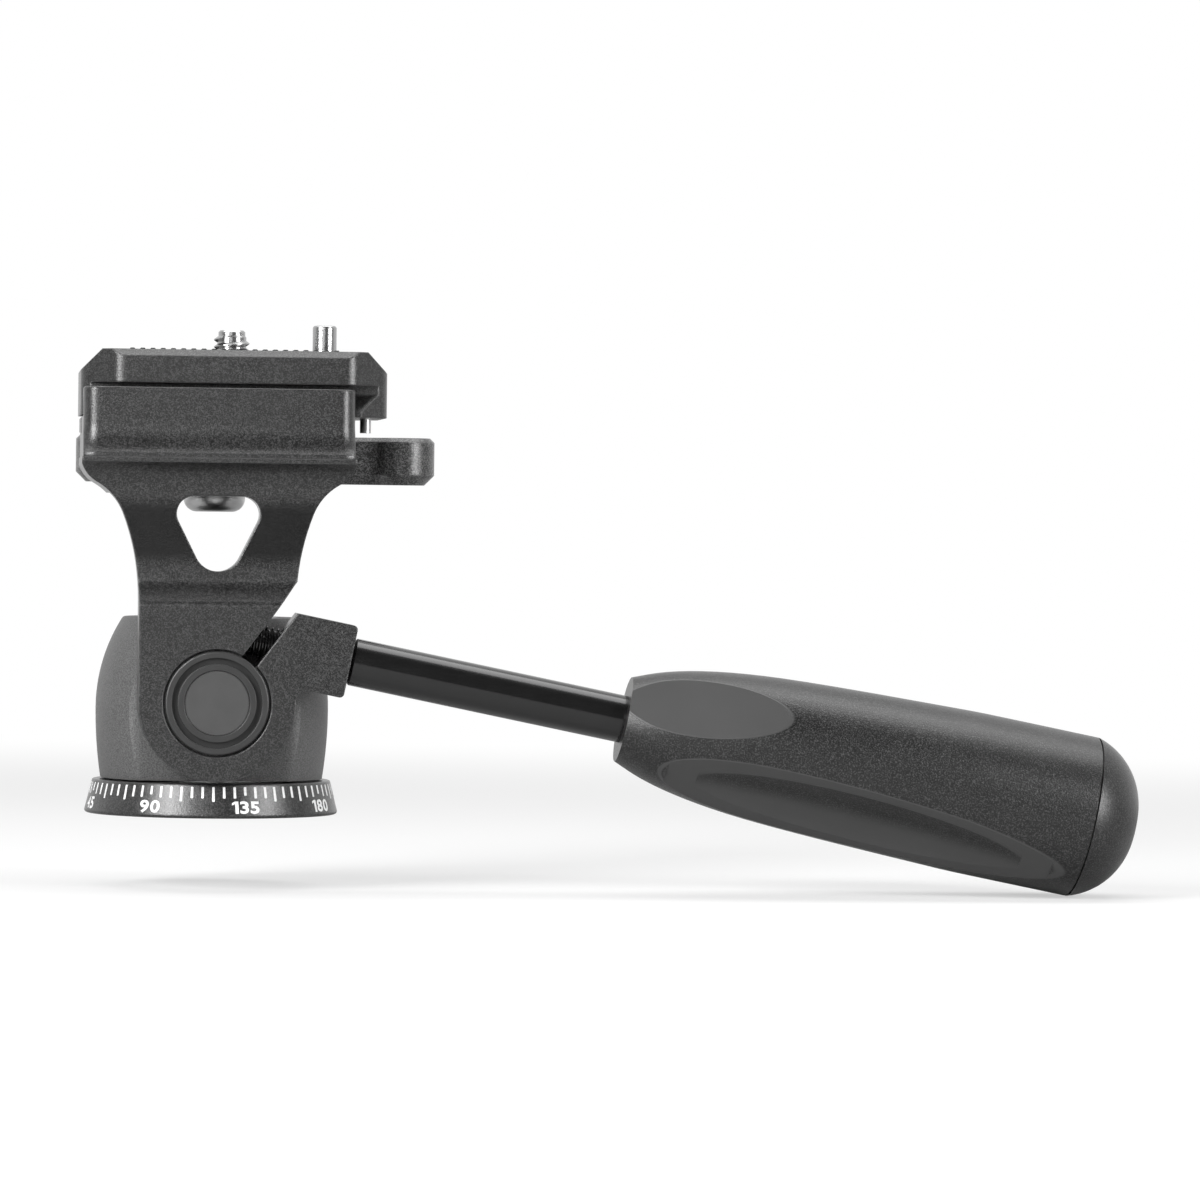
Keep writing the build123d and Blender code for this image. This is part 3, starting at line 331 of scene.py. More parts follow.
def close_finish(material, wire, sockets):
    """Give a material its shader: constants on the shader's own sockets, what varies by wire."""
    shader = wire.node("ShaderNodeBsdfPrincipled", sockets=sockets)
    wire.node("ShaderNodeOutputMaterial", sockets={"Surface": shader})
    return material


def noise(wire, place, scale, detail=2.0, rough=0.5):
    """Soft random grain, with so many waves to the metre."""
    return wire.node(
        "ShaderNodeTexNoise",
        sockets={"Vector": place, "Scale": scale, "Detail": detail, "Roughness": rough},
    )


def sparkle(wire, place, scale):
    """Grain of small cells, so many to the metre, each of its own random level."""
    cells = wire.node("ShaderNodeTexVoronoi", sockets={"Vector": place, "Scale": scale}, output="Color")
    return wire.node("ShaderNodeSeparateColor", sockets={"Color": cells})


def tool_marks(wire, place):
    """Fine marks of the tool round a turned piece."""
    flattened = wire.node("ShaderNodeMapping", sockets={"Vector": place, "Scale": tool_mark_squeeze})
    return noise(wire, flattened, scale=900)


def bump(wire, height, strength, depth, normal=None):
    """Normal of a surface with fine relief, on top of another normal where one is given."""
    sockets = {"Height": height, "Strength": strength, "Distance": depth}
    if normal is not None:
        sockets["Normal"] = normal
    return wire.node("ShaderNodeBump", sockets=sockets)


def rubbed_edge(wire, radius):
    """Normal that rounds a piece's corners off, and how far each spot is turned by it, which marks where
    edges are painted lighter as a painted highlight.
    """
    round_edge = wire.node("ShaderNodeBevel", {"samples": 6}, {"Radius": radius})
    flat = wire.node("ShaderNodeNewGeometry", output="Normal")
    return round_edge, (1 - round_edge.dot(flat)).between(0.01, 0.2)


def blasted_black(name, light=black_light, smooth_shaded_heights=None):
    """Black anodised aluminium, bead-blasted; its edges rounded in the normal and painted lighter as a
    painted highlight; between two heights smoother, and darker as painted shade.
    """
    material, wire, place = new_finish(name)
    grain = noise(wire, place, scale=3900, rough=0.6)
    specks = sparkle(wire, place, scale=5600).between(0.3, 1.0)
    blotch = noise(wire, place, scale=180, detail=3)
    grain_outside_painted_bands = 1.0
    if smooth_shaded_heights:
        low, high = smooth_shaded_heights
        height = place.part("Z")
        over = height.between(low - neck_fade / 2, low + neck_fade / 2)
        under = 1 - height.between(high, high + neck_fade)
        # Less grain here takes away the light specks: a smoother finish, and a darker colour that is
        # painted shade
        grain_outside_painted_bands = 1 - over * under * neck_smoothness_and_shade
    round_edge, edge_highlight = rubbed_edge(wire, edge_round_highlight_radius)
    return close_finish(
        material,
        wire,
        {
            # Lighter edges are a painted highlight; the darker neck band is painted shade
            "Base Color": (specks * 0.9 * grain_outside_painted_bands + edge_highlight).tint(black_dark, light),
            "Roughness": 0.16 + grain_outside_painted_bands * 0.1 + blotch * 0.06,
            "Specular IOR Level": 0.7,
            "Normal": bump(wire, grain * grain_outside_painted_bands, strength=0.5, depth=blast_depth, normal=round_edge),
        },
    )


def turned_cap(name, light):
    """Smooth black cap of the pivot: faint turning marks, the groove between its rings darkened as painted
    shade, and edges painted lighter as a painted highlight.
    """
    material, wire, place = new_finish(name)
    x = place.part("X")
    rise = place.part("Z") - pivot_height
    radius = (x * x + rise * rise).root()
    low, high = cap_groove_radii
    middle, half_width = (low + high) / 2, (high - low) / 2
    fade_start, fade_end = half_width - cap_groove_fade_in, half_width + cap_groove_fade_out
    groove = 1 - abs(radius - middle).between(fade_start, fade_end)
    rings = wire.node("ShaderNodeCombineXYZ", sockets={"X": radius})
    marks = noise(wire, rings, scale=9000, detail=1)
    haze = noise(wire, place, scale=400, detail=3)
    round_edge, edge_highlight = rubbed_edge(wire, cap_edge_round_highlight_radius)
    # The groove is darkened as painted shade and the edges lightened as painted highlight
    shade = (0.55 + haze * 0.2 + marks * 0.1 + edge_highlight * 0.6) * (1 - groove * 0.92)
    return close_finish(
        material,
        wire,
        {
            "Base Color": shade.tint(cap_dark, light),
            "Roughness": 0.3 + haze * 0.08 + groove * 0.2,
            "Specular IOR Level": 0.5,
            "Normal": bump(wire, marks, strength=0.1, depth=tool_mark_depth, normal=round_edge),
        },
    )


def satin_grey():
    """Mid-grey satin paint with a fine spray grain."""
    material, wire, place = new_finish("satin_grey")
    spray = noise(wire, place, scale=4200, rough=0.6)
    cloud = noise(wire, place, scale=60)
    return close_finish(
        material,
        wire,
        {
            "Base Color": (spray.between(0.3, 0.7) * 0.75 + cloud * 0.25).tint(*grey_levels),
            "Roughness": 0.42 + spray * 0.14,
            "Normal": bump(wire, spray, strength=0.5, depth=spray_depth),
        },
    )


def steel(name, level, rough, turning):
    """Turned or polished steel."""
    material, wire, place = new_finish(name)
    marks = tool_marks(wire, place)
    smudge = noise(wire, place, scale=250, detail=3)
    return close_finish(
        material,
        wire,
        {
            "Base Color": marks.tint(level * 0.85, level),
            "Metallic": 1.0,
            "Roughness": rough + smudge * 0.12,
            "Normal": bump(wire, marks, strength=turning, depth=tool_mark_depth),
        },
    )


def turned_brass():
    """Brass of the bearings."""
    material, wire, place = new_finish("turned_brass")
    marks = tool_marks(wire, place)
    return close_finish(
        material,
        wire,
        {"Base Color": marks.tint(*brass_colours), "Metallic": 1.0, "Roughness": 0.3 + marks * 0.1},
    )


def moulded(name, level, rough, grain_scale, depth):
    """Moulded plastic or rubber with an even grain from the mould."""
    material, wire, place = new_finish(name)
    grain = noise(wire, place, grain_scale)
    cloud = noise(wire, place, scale=120, detail=3)
    return close_finish(
        material,
        wire,
        {
            "Base Color": cloud.tint(level * 0.85, level * 1.15),
            "Roughness": rough + grain * 0.12,
            "Normal": bump(wire, grain, strength=0.4, depth=depth),
        },
    )


def gloss_rod():
    """Gloss black rod with a few faint drawing lines along it."""
    material, wire, place = new_finish("gloss_rod")
    along = wire.node(
        "ShaderNodeMapping",
        sockets={"Vector": place, "Rotation": (0, -handle_angle, 0), "Scale": rod_line_squeeze},
    )
    lines = noise(wire, along, scale=2500)
    haze = noise(wire, place, scale=300, detail=3)
    return close_finish(
        material,
        wire,
        {
            "Base Color": lines.tint(*rod_levels),
            "Roughness": 0.14 + haze * 0.1,
            "Coat Weight": 0.25 + haze * 0.1,
            "Coat Roughness": 0.08,
            "Normal": bump(wire, lines, strength=0.12, depth=tool_mark_depth),
        },
    )


def circle_through(first, middle, last):
    """Centre and radius of the circle through three points."""
    (ax, ay), (bx, by), (cx, cy) = first, middle, last
    span = 2 * (ax * (by - cy) + bx * (cy - ay) + cx * (ay - by))
    a, b, c = (x * x + y * y for x, y in (first, middle, last))
    x = (a * (by - cy) + b * (cy - ay) + c * (ay - by)) / span
    y = (a * (cx - bx) + b * (ax - cx) + c * (bx - ax)) / span
    return x, y, hypot(ax - x, ay - y)


def grip_plastic():
    """Dark-grey moulded grip, grained but for its thumb facets and the edges of its leaf hollows, which
    are also painted lighter as a painted sheen.
    """
    material, wire, place = new_finish("grip_plastic")
    mouth = handle_origin + handle_along * grip_start

    def reach(direction):
        """Distance from the middle of the grip's mouth along a direction."""
        return place.dot(direction) - mouth.dot(direction)

    along = reach(handle_along)

    def off_arc(out, arc):
        """Distance from a circle drawn along the grip and out from it."""
        middle_along, middle_out, radius = circle_through(*arc)
        x, y = along - middle_along, out - middle_out
        return (x * x + y * y).root() - radius

    smooth_sheen_bands = []
    for side in (-1, 1):
        thumb_out = Vector((0, -side * cos(thumb_turn), 0)) + handle_rise * sin(thumb_turn)
        leaf_out = Vector((0, -side * cos(leaf_turn), 0)) + handle_rise * sin(leaf_turn)
        leaf_down = Vector((0, -side * sin(leaf_turn), 0)) - handle_rise * cos(leaf_turn)
        facet = reach(thumb_out) - thumb_reach - (along - thumb_place) * tan(thumb_slope)
        out, down = reach(leaf_out), reach(leaf_down)
        inward = out - groove_axis_reach
        groove_out = groove_axis_reach - (inward * inward + down * down).root()
        # Only the lower half of the groove's edge gets the smooth finish and the painted sheen
        lower_half = down.between(-groove_fade, groove_fade)
        for gap, share in (
            (facet, 1.0),
            (off_arc(out, leaf_arc), 1.0),
            (off_arc(groove_out, groove_arc), lower_half),
        ):
            smooth_sheen_bands.append((1 - abs(gap).between(*rim_fade)) * share)
    # Smooth parts: a real smooth finish, and a lighter colour that is painted sheen
    smooth_and_sheen = reduce(Wire.largest, smooth_sheen_bands)
    grain_outside_painted_bands = 1 - smooth_and_sheen
    grain = noise(wire, place, scale=3900, rough=0.6)
    cloud = noise(wire, place, scale=90, detail=3)
    specks = grain.between(0.43, 0.8) * grain_outside_painted_bands
    return close_finish(
        material,
        wire,
        {
            "Base Color": (cloud * 0.06 + specks * 0.5 + smooth_and_sheen * 0.35).tint(*grip_levels),
            "Roughness": 0.3 + cloud * 0.06 + smooth_and_sheen * 0.06,
            "Normal": bump(wire, grain * grain_outside_painted_bands, strength=0.5, depth=grip_grain_depth),
        },
    )


def scale_white():
    """White paint of the scale, a little worn."""
    material, wire, place = new_finish("scale_white")
    worn = noise(wire, place, scale=2200, detail=4, rough=0.7)
    return close_finish(
        material,
        wire,
        {"Base Color": worn.between(0.3, 0.7).tint(*white_levels), "Roughness": 0.45 + worn * 0.2},
    )


def wear(piece, material):
    """Give a piece one finish all over."""
    piece.data.materials.clear()
    piece.data.materials.append(material)


finishes = {
    "black_anodised": blasted_black("blasted_black"),
    "grey_paint": satin_grey(),
    "steel": steel("turned_steel", level=0.55, rough=0.28, turning=0.3),
    "polished_steel": steel("polished_steel", level=0.42, rough=0.18, turning=0.12),
    "bearing_plastic": moulded(
        "bearing_plastic", level=0.68, rough=0.4, grain_scale=1500, depth=tool_mark_depth
    ),
    "bearing_brass": turned_brass(),
    "black_plastic": moulded(
        "black_plastic", level=0.04, rough=0.28, grain_scale=3000, depth=plastic_grain_depth
    ),
    "pad_rubber": moulded("pad_rubber", level=0.02, rough=0.6, grain_scale=3200, depth=pad_grain_depth),
    "rod_black": gloss_rod(),
    "grip_plastic": grip_plastic(),
}
white_paint = scale_white()
for subpart in frame["record"]["subparts"]:
    wear(frame["nodes"][subpart["node"]], finishes[subpart["material_slot"]])
wear(frame["nodes"]["hub_cap"], turned_cap("hub_cap_black", hub_cap_light))
wear(frame["nodes"]["cap_disc"], turned_cap("cap_disc_black", cap_disc_light))
# Lever in a lighter copy of the black finish: painted light
wear(frame["nodes"]["clamp_lever"], blasted_black("lever_black_painted_light", light=lever_painted_light))
# Yoke's neck band: smoother, and darker as painted shade
wear(frame["nodes"]["yoke"], blasted_black("yoke_black_neck_shade", smooth_shaded_heights=neck_heights))

# Steps that several pieces share


def fresh(add, **settings):
    """Add a primitive with nothing else selected."""
    bpy.ops.object.select_all(action="DESELECT")
    add(**settings)
    return bpy.context.object


def new_object(name, data):
    """Add an object that isn't a primitive."""
    made = bpy.data.objects.new(name, data)
    bpy.context.scene.collection.objects.link(made)
    return made


def copy_of(master):
    """Copy of a piece, with its own mesh."""
    made = master.copy()
    made.data = master.data.copy()
    bpy.context.scene.collection.objects.link(made)
    return made


def pick(*pieces):
    """Select these pieces alone, and make the first one active."""
    bpy.ops.object.select_all(action="DESELECT")
    for piece in pieces:
        piece.select_set(True)
    bpy.context.view_layer.objects.active = pieces[0]


def edit_only(piece, kind, wanted):
    """Go into edit mode with only the wanted corners or edges of a piece selected."""
    bpy.ops.object.mode_set(mode="EDIT")
    bpy.ops.mesh.select_mode(type=kind)
    bpy.ops.mesh.select_all(action="DESELECT")
    bpy.ops.object.mode_set(mode="OBJECT")
    elements = piece.data.vertices if kind == "VERT" else piece.data.edges
    for element in elements:
        element.select = wanted(element)
    bpy.ops.object.mode_set(mode="EDIT")


def work(piece, kind, **settings):
    """Give a piece a modifier, and apply it."""
    pick(piece)
    modifier = piece.modifiers.new(kind, kind)
    for name, value in settings.items():
        setattr(modifier, name, value)
    bpy.ops.object.modifier_apply(modifier=modifier.name)


def settle(piece, name):
    """Put a piece's place into its mesh, and turn its faces outward."""
    pick(piece)
    bpy.ops.object.transform_apply(location=True, rotation=True, scale=True)
    bpy.ops.object.mode_set(mode="EDIT")
    bpy.ops.mesh.select_all(action="SELECT")
    bpy.ops.mesh.remove_doubles(threshold=merge_distance)
    bpy.ops.mesh.normals_make_consistent(inside=False)
    bpy.ops.object.mode_set(mode="OBJECT")
    piece.name = name
    piece.data.name = name


def join(pieces, name):
    """Make one piece of several."""
    pick(*pieces)
    bpy.ops.object.join()
    pieces[0].name = name
    pieces[0].data.name = name
    return pieces[0]


def combine(piece, other, operation):
    """Cut a piece with another one, or make the two one, and take the other one away."""
    work(piece, "BOOLEAN", operation=operation, object=other)
    bpy.data.objects.remove(other)


def lay(piece, x_way, y_way, z_way, origin):
    """Turn and move a piece so that its own axes lie along three directions from an origin."""
    piece.matrix_world = Matrix(
        [(x_way[i], y_way[i], z_way[i], origin[i]) for i in range(3)] + [(0, 0, 0, 1)]
    )
    bpy.context.view_layer.update()


def smooth_sides(piece):
    """Shade the turned sides smooth, keep the corners, and let the large faces stay flat."""
    pick(piece)
    bpy.ops.object.shade_smooth_by_angle(angle=smooth_angle)
    work(piece, "WEIGHTED_NORMAL", weight=100, keep_sharp=True)


def stand_for(piece, node, body, slot):
    """Give a piece the finish of the solid that it stands for, and let it ride where the solid does."""
    smooth_sides(piece)
    wear(piece, finishes[slot])
    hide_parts(node)
    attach(piece, body)


def block(low, high):
    """Block between two corners."""
    low, high = Vector(low), Vector(high)
    return fresh(bpy.ops.mesh.primitive_cube_add, size=1, location=(low + high) / 2, scale=high - low)


def turned(outline, sides=turned_sides):
    """Turn a solid about Z by extruding and scaling a disc, from (radius, height) pairs going up."""
    (radius, height), *rest = outline
    piece = fresh(
        bpy.ops.mesh.primitive_circle_add,
        vertices=sides,
        radius=radius,
        fill_type="NGON",
        location=(0, 0, height),
    )
    bpy.ops.object.mode_set(mode="EDIT")
    bpy.ops.mesh.select_mode(type="FACE")
    bpy.ops.mesh.select_all(action="SELECT")
    for next_radius, next_height in rest:
        step = (0, 0, next_height - height)
        bpy.ops.mesh.extrude_region_move(TRANSFORM_OT_translate={"value": step})
        share = next_radius / radius
        bpy.ops.transform.resize(value=(share, share, 1), center_override=(0, 0, next_height))
        radius, height = next_radius, next_height
    bpy.ops.object.mode_set(mode="OBJECT")
    return piece


def wound(section, pitch, turns):
    """Sweep a closed section, drawn beside Z, into a helix, and close its two ends."""
    pick(section)
    bpy.ops.object.transform_apply(location=True, rotation=True, scale=True)
    steps = int(helix_steps * turns)
    work(
        section,
        "SCREW",
        axis="Z",
        angle=2 * pi * turns,
        screw_offset=pitch * turns,
        steps=steps,
        render_steps=steps,
        use_smooth_shade=False,
    )
    bpy.ops.object.mode_set(mode="EDIT")
    bpy.ops.mesh.select_all(action="SELECT")
    bpy.ops.mesh.fill_holes(sides=0)
    bpy.ops.object.mode_set(mode="OBJECT")
    return section


def thread_ridge(core, crest, pitch, low, high):
    """Ridge of a screw thread round Z, from low to high."""
    depth = crest - core + ridge_sink
    width = pitch * ridge_root
    middle = crest - depth / 2
    ridge = fresh(
        bpy.ops.mesh.primitive_plane_add,
        size=width,
        location=(middle, 0, low),
        rotation=(pi / 2, 0, 0),
    )
    bpy.ops.object.transform_apply(location=True, rotation=True, scale=True)
    bpy.ops.object.mode_set(mode="EDIT")
    bpy.ops.transform.resize(value=(depth / width, 1, 1), center_override=(middle, 0, low))
    edit_only(ridge, "VERT", lambda corner: corner.co.x > middle)
    bpy.ops.transform.resize(value=(1, 1, ridge_crest / ridge_root), center_override=(crest, 0, low))
    bpy.ops.object.mode_set(mode="OBJECT")
    return wound(ridge, pitch, (high - low) / pitch)


# Scale ring's print: a bar of paint for each tick, and numbers laid on the cone

cone_slope = atan2(ring_foot_radius - ring_top_radius, ring_height)


def set_on_ring(piece, degree, drop, stretch=1.0):
    """Stand a flat piece, drawn in X and Y, on the ring's cone, stretched round the ring."""
    turn = radians(degree - front_degree)
    radius = ring_top_radius + (ring_foot_radius - ring_top_radius) * drop / ring_height
    spot = Vector((radius * sin(turn), -radius * cos(turn), ring_height - drop))
    out = Vector((sin(turn) * cos(cone_slope), -cos(turn) * cos(cone_slope), sin(cone_slope)))
    across = Vector((cos(turn), sin(turn), 0))
    lay(piece, across * stretch, out.cross(across), out, spot)


def tick_kind(degree):
    """Which of the three ticks a degree has."""
    if degree % number_step == 0:
        return "number"
    return "long" if degree % long_tick_step == 0 else "short"


def tick_master(length):
    """One tick, lying in X and Y: a thin bar of paint with rounded ends."""
    tick = fresh(
        bpy.ops.mesh.primitive_cube_add, size=1, scale=(tick_width, length, 2 * print_height)
    )
    bpy.ops.object.transform_apply(scale=True)

    def upright(edge):
        low, high = (tick.data.vertices[corner].co.z for corner in edge.vertices)
        return abs(low - high) > print_height

    edit_only(tick, "EDGE", upright)
    bpy.ops.mesh.bevel(offset=tick_end_round, segments=2)
    bpy.ops.object.mode_set(mode="OBJECT")
    return tick


def one_flag(left, top):
    """Slanting flag on the left of a one, whose plain bar has its upper left corner at left and top."""
    middle = left - one_flag_width / 2
    flag = fresh(
        bpy.ops.mesh.primitive_plane_add,
        size=one_flag_width,
        location=(middle, top - one_flag_width / 2, 0),
    )
    bpy.ops.object.transform_apply(location=True)
    bpy.ops.object.mode_set(mode="EDIT")
    bpy.ops.mesh.select_all(action="SELECT")
    bpy.ops.transform.resize(
        value=(1, one_flag_height / one_flag_width, 1), center_override=(left, top, 0)
    )
    edit_only(flag, "VERT", lambda corner: corner.co.x < middle)
    bpy.ops.transform.translate(value=(0, -one_flag_drop, 0))
    bpy.ops.object.mode_set(mode="OBJECT")
    return flag


def digit_master(character):
    """One digit, lying in X and Y."""
    digit = fresh(bpy.ops.object.text_add)
    digit.data.body = character
    digit.data.size = number_size
    digit.data.align_y = "CENTER"
    digit.data.offset = number_weight
    digit.data.resolution_u = number_curve_steps
    bpy.ops.object.convert(target="MESH")
    digit = bpy.context.object
    if character == "1":
        corners = [corner.co for corner in digit.data.vertices]
        flag = one_flag(min(c.x for c in corners), max(c.y for c in corners))
        digit = join([digit, flag], "one")
    return digit


def set_number(characters):
    """Number of several digits, side by side, its middle at nought."""
    digits = []
    width = -digit_gap
    for character in characters:
        digit = copy_of(digit_masters[character])
        places = [corner.co.x for corner in digit.data.vertices]
        digit.location.x = width + digit_gap - min(places)
        width += digit_gap + max(places) - min(places)
        digits.append(digit)
    for digit in digits:
        digit.location.x -= width / 2
        settle(digit, "digit")
    return join(digits, "number")


tick_masters = {kind: tick_master(length) for kind, length in tick_lengths.items()}
ticks = []
for degree in range(0, full_turn, tick_step):
    kind = tick_kind(degree)
    tick = copy_of(tick_masters[kind])
    set_on_ring(tick, degree, tick_start + tick_lengths[kind] / 2)
    ticks.append(tick)
scale_ticks = join(ticks, "scale_ticks")
settle(scale_ticks, "scale_ticks")

numbered = range(0, full_turn, number_step)
characters_used = sorted(set("".join(str(degree) for degree in numbered)))
digit_masters = {character: digit_master(character) for character in characters_used}
numbers = []
for degree in numbered:
    number = set_number(str(degree))
    set_on_ring(number, degree, number_drop, number_stretch)
    numbers.append(number)
scale_numbers = join(numbers, "scale_numbers")
settle(scale_numbers, "scale_numbers")
work(
    scale_numbers,
    "SHRINKWRAP",
    target=frame["nodes"]["scale_ring"],
    wrap_method="NEAREST_SURFACEPOINT",
    offset=print_height,
)

for master in (*tick_masters.values(), *digit_masters.values()):
    bpy.data.objects.remove(master)
for piece in (scale_ticks, scale_numbers):
    wear(piece, white_paint)
    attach(piece, "base")

# Camera screw, with its thread and coin slot

camera_shank_top = camera_screw_top - camera_tip_length
camera_body = turned(
    [
        (camera_head_radius - camera_head_chamfer, camera_head_low),
        (camera_head_radius, camera_head_low + camera_head_chamfer),
        (camera_head_radius, camera_head_high),
        (camera_screw_radius, camera_head_high),
        (camera_screw_radius, clip_groove_low),
        (clip_groove_radius, clip_groove_low),
        (clip_groove_radius, clip_groove_high),
        (camera_screw_core, clip_groove_high),
        (camera_screw_core, camera_shank_top - camera_tip_chamfer),
        (camera_tip_radius, camera_shank_top),
        (camera_tip_radius, camera_screw_top - camera_tip_chamfer),
        (camera_tip_radius - camera_tip_chamfer, camera_screw_top),
    ]
)
slot_cutter = fresh(
    bpy.ops.mesh.primitive_cube_add,
    size=1,
    location=(0, 0, camera_head_low),
    scale=(3 * camera_head_radius, coin_slot_width, 2 * coin_slot_depth),
)
combine(camera_body, slot_cutter, "DIFFERENCE")
bpy.ops.object.transform_apply(location=True)
camera_thread = thread_ridge(
    camera_screw_core,
    camera_screw_radius,
    camera_screw_pitch,
    clip_groove_high + camera_thread_start * camera_screw_pitch,
    camera_shank_top - camera_thread_end * camera_screw_pitch,
)
threaded_camera_screw = join([camera_body, camera_thread], "threaded_camera_screw")
threaded_camera_screw.location = (plate_shift, 0, 0)
settle(threaded_camera_screw, "threaded_camera_screw")
stand_for(threaded_camera_screw, "camera_screw", "screw", "polished_steel")

# Handle's rod, with the thread that runs into the yoke

rod_body = turned(
    [
        (rod_screw_core - rod_chamfer, rod_low),
        (rod_screw_core, rod_low + rod_chamfer),
        (rod_screw_core, rod_shoulder),
        (rod_radius - rod_chamfer, rod_shoulder),
        (rod_radius, rod_shoulder + rod_chamfer),
        (rod_radius, rod_high - rod_chamfer),
        (rod_radius - rod_chamfer, rod_high),
    ]
)
bpy.ops.object.transform_apply(location=True)
rod_thread = thread_ridge(
    rod_screw_core,
    rod_screw_radius,
    rod_screw_pitch,
    rod_low + rod_screw_pitch,
    rod_shoulder - rod_screw_pitch,
)
threaded_rod = join([rod_body, rod_thread], "threaded_rod")
lay(threaded_rod, handle_rise, Vector((0, -1, 0)), handle_along, handle_origin)
settle(threaded_rod, "threaded_rod")
stand_for(threaded_rod, "handle_rod", "handle", "rod_black")

# Guide pin's spring, which shortens as the pin is pressed

spring_low, spring_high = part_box("pin_spring")
spring_middle = (spring_low + spring_high) / 2
spring_length = spring_high.z - spring_low.z
spring_radius = (spring_high.x - spring_low.x) / 2
coil_section = fresh(
    bpy.ops.mesh.primitive_circle_add,
    vertices=spring_wire_sides,
    radius=spring_wire_radius,
    location=(spring_radius - spring_wire_radius, 0, spring_low.z + spring_wire_radius),
    rotation=(pi / 2, 0, 0),
)
coil_pitch = (spring_length - 2 * spring_wire_radius) / spring_coils
pin_coil = wound(coil_section, coil_pitch, spring_coils)
pin_coil.location = (spring_middle.x, spring_middle.y, 0)
settle(pin_coil, "pin_coil")
stand_for(pin_coil, "pin_spring", "plate", "steel")
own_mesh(pin_coil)

# Clamp's front: a taller cove over its foot, carried round the corners

clamp_low, clamp_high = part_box("clamp_body")
face_y = -jaw_face_reach
lip_depth = face_y - clamp_low.y
cove_radius = (foot_cove_rise ** 2 + lip_depth ** 2) / (2 * lip_depth)
cove_top = clamp_low.z + foot_lip_height + foot_cove_rise


def corner_outline():
    """Outline of the jaw round a front corner's axis, going up: foot, cove, rounded upper edge."""
    outline = [(jaw_corner_round + lip_depth, clamp_low.z - overrun)]
    cove_end = atan2(foot_cove_rise, cove_radius - lip_depth)
    for step in range(outline_steps, -1, -1):
        angle = cove_end * step / outline_steps
        out = jaw_corner_round + cove_radius * (1 - cos(angle))
        outline.append((out, cove_top - cove_radius * sin(angle)))
    for step in range(outline_steps + 1):
        angle = pi / 2 * step / outline_steps
        out = jaw_corner_round - jaw_edge_round * (1 - cos(angle))
        outline.append((out, clamp_high.z - jaw_edge_round * (1 - sin(angle))))
    outline.append((jaw_corner_round - jaw_edge_round, clamp_high.z + overrun))
    return outline


def corner_cutter(side):
    """What is cut off one front corner: a block less the jaw's outline, turned about the corner's axis."""
    axis_x = side * (clamp_high.x - jaw_corner_round)
    axis_y = face_y + jaw_corner_round
    inside = turned(corner_outline(), corner_sides)
    inside.location.x += axis_x
    inside.location.y += axis_y
    far_x = side * (clamp_high.x + overrun)
    cutter = block(
        (min(axis_x, far_x), clamp_low.y - overrun, clamp_low.z - overrun / 2),
        (max(axis_x, far_x), axis_y, clamp_high.z + overrun / 2),
    )
    combine(cutter, inside, "DIFFERENCE")
    return cutter


def coved_foot():
    """Foot of the clamp's front, hollowed along its whole length."""
    foot = block(
        clamp_low + Vector((foot_inset, foot_inset, foot_inset)),
        (clamp_high.x - foot_inset, face_y + overrun, cove_top),
    )
    cove = fresh(
        bpy.ops.mesh.primitive_cylinder_add,
        vertices=cove_sides,
        radius=cove_radius,
        depth=3 * clamp_high.x,
        location=(0, face_y - cove_radius, cove_top),
        rotation=(0, pi / 2, 0),
    )
    combine(foot, cove, "DIFFERENCE")
    return foot


def room_for(node):
    """Round room for a piece that turns about Z against the clamp."""
    low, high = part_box(node)
    return fresh(
        bpy.ops.mesh.primitive_cylinder_add,
        vertices=clearance_sides,
        radius=(high.x - low.x) / 2 + turning_clearance,
        depth=high.z - low.z + 2 * turning_clearance,
        location=(low + high) / 2,
    )


rounded_clamp = new_object("rounded_clamp", frame["nodes"]["clamp_body"].data.copy())
settle(rounded_clamp, "rounded_clamp")
combine(rounded_clamp, coved_foot(), "UNION")
for side in (-1, 1):
    combine(rounded_clamp, corner_cutter(side), "DIFFERENCE")
for turning in ("shaft_clip", "lever_washer"):
    combine(rounded_clamp, room_for(turning), "DIFFERENCE")
settle(rounded_clamp, "rounded_clamp")
stand_for(rounded_clamp, "clamp_body", "tilt_yoke", "black_anodised")

# Stage: pale floor, white surround, soft lamps, camera


def ray_kinds(wire):
    """One for what the camera sees itself, and one for what metal or glass shows it."""
    camera, glossy, through = (
        wire.node("ShaderNodeLightPath", output=kind)
        for kind in ("Is Camera Ray", "Is Glossy Ray", "Is Transmission Ray")
    )
    return camera, glossy.largest(through)


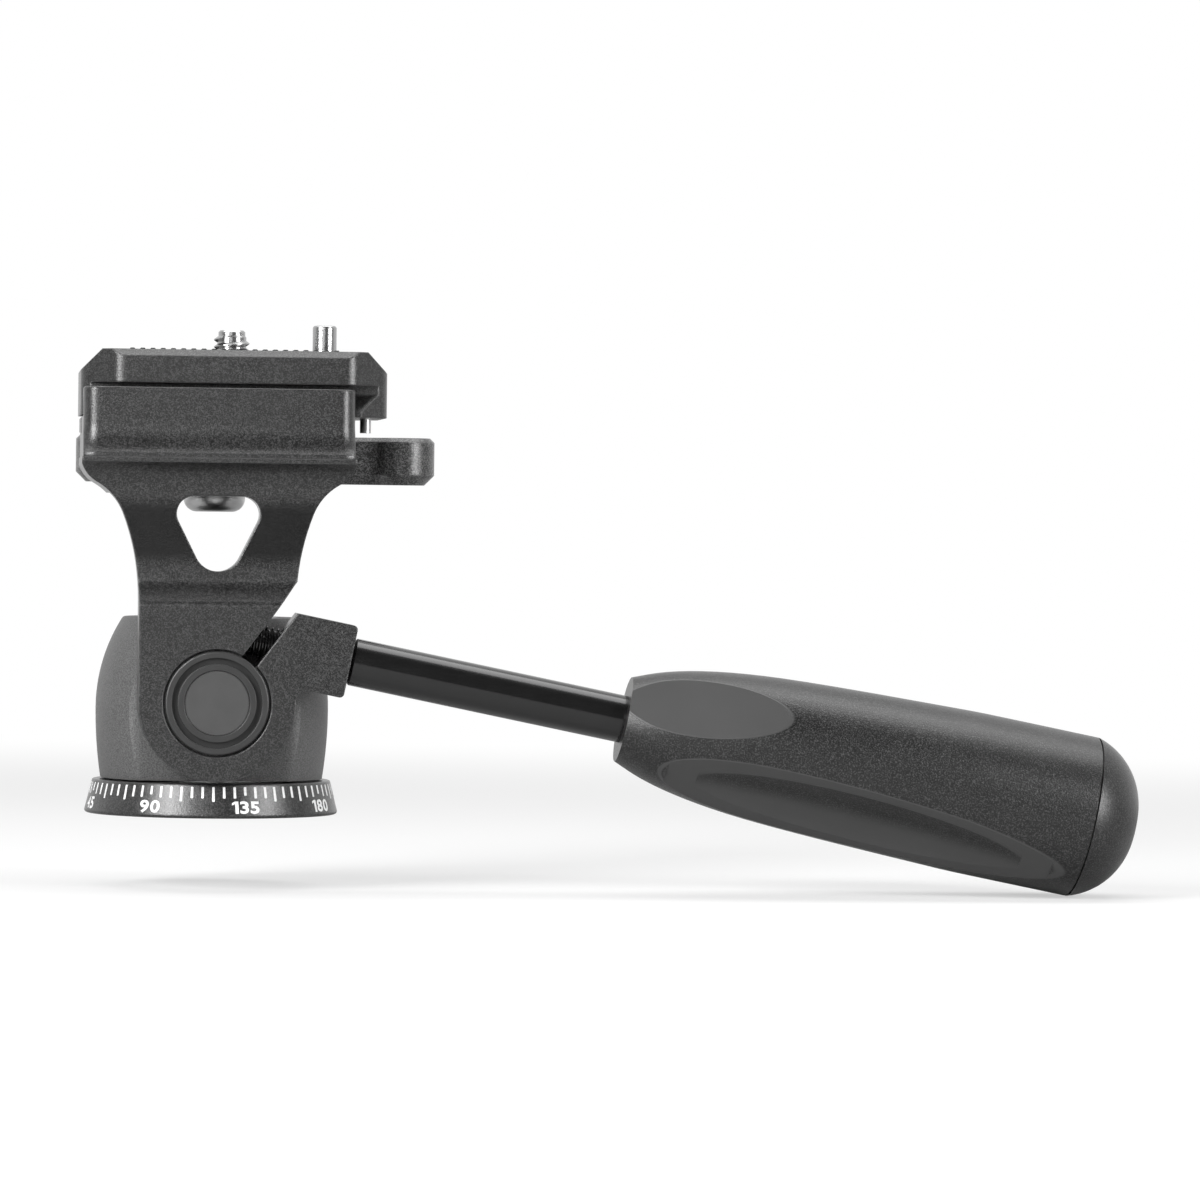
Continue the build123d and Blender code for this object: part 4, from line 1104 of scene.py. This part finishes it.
def stage_floor():
    """Pale floor that keeps the object's shadow and goes white farther off."""
    floor = fresh(
        bpy.ops.mesh.primitive_plane_add,
        size=floor_size,
        location=(0, floor_shift, solid_box[0].z - floor_gap),
    )
    bpy.ops.object.transform_apply(location=True)
    floor.name = "floor"
    material, wire, place = new_finish("pale_floor")
    seen, mirrored = ray_kinds(wire)
    far = place.length().between(*floor_white_reach)
    behind = place.part("Y").between(*floor_mirror_reach)
    white_share = (seen * (floor_white + (1 - floor_white) * far)).largest(mirrored * behind)
    matt = wire.node("ShaderNodeBsdfDiffuse", sockets={"Color": seen.tint(*floor_levels)})
    white = wire.node("ShaderNodeEmission", sockets={"Color": colour(1), "Strength": 1})
    both = wire.node("ShaderNodeMixShader", sockets={0: white_share, 1: matt, 2: white})
    wire.node("ShaderNodeOutputMaterial", sockets={"Surface": both})
    wear(floor, material)


def surround():
    """White behind the object, and a dim even light from the room all round."""
    world = bpy.data.worlds.new("studio")
    bpy.context.scene.world = world
    world.use_nodes = True
    world.node_tree.nodes.clear()
    wire = Wire(world.node_tree)
    seen, mirrored = ray_kinds(wire)
    direction = wire.node("ShaderNodeTexCoord", output="Generated")
    behind = direction.part("Y").between(*room_mirror_reach)
    room = wire.node("ShaderNodeBackground", sockets={"Color": colour(1), "Strength": room_strength})
    white = wire.node("ShaderNodeBackground", sockets={"Color": colour(1), "Strength": 1})
    white_share = seen.largest(mirrored * behind)
    both = wire.node("ShaderNodeMixShader", sockets={0: white_share, 1: room, 2: white})
    wire.node("ShaderNodeOutputWorld", sockets={"Surface": both})


def soft_lamp(name, place, aim, size, power):
    """Flat lamp that looks at a point."""
    lamp = bpy.data.lights.new(name, "AREA")
    lamp.shape = "RECTANGLE"
    lamp.size, lamp.size_y = size
    lamp.energy = power
    holder = new_object(name, lamp)
    holder.location = place
    holder.rotation_euler = (Vector(aim) - Vector(place)).to_track_quat("-Z", "Y").to_euler()


def photo_camera():
    """Camera turned by its yaw, pitch and roll."""
    ahead = Vector(
        (
            -sin(camera_yaw) * cos(camera_pitch),
            cos(camera_yaw) * cos(camera_pitch),
            -sin(camera_pitch),
        )
    )
    level = Vector((cos(camera_yaw), sin(camera_yaw), 0))
    above = level.cross(ahead)
    right = level * cos(camera_roll) + above * sin(camera_roll)
    up = above * cos(camera_roll) - level * sin(camera_roll)
    camera = new_object("camera", bpy.data.cameras.new("camera"))
    lay(camera, right, up, -ahead, camera_place)
    camera.data.sensor_width = camera_sensor
    camera.data.lens = camera_lens
    bpy.context.scene.camera = camera


stage_floor()
surround()
for name, lamp in lamps.items():
    soft_lamp(name, **lamp)
photo_camera()
bpy.context.scene.view_settings.view_transform = "Standard"
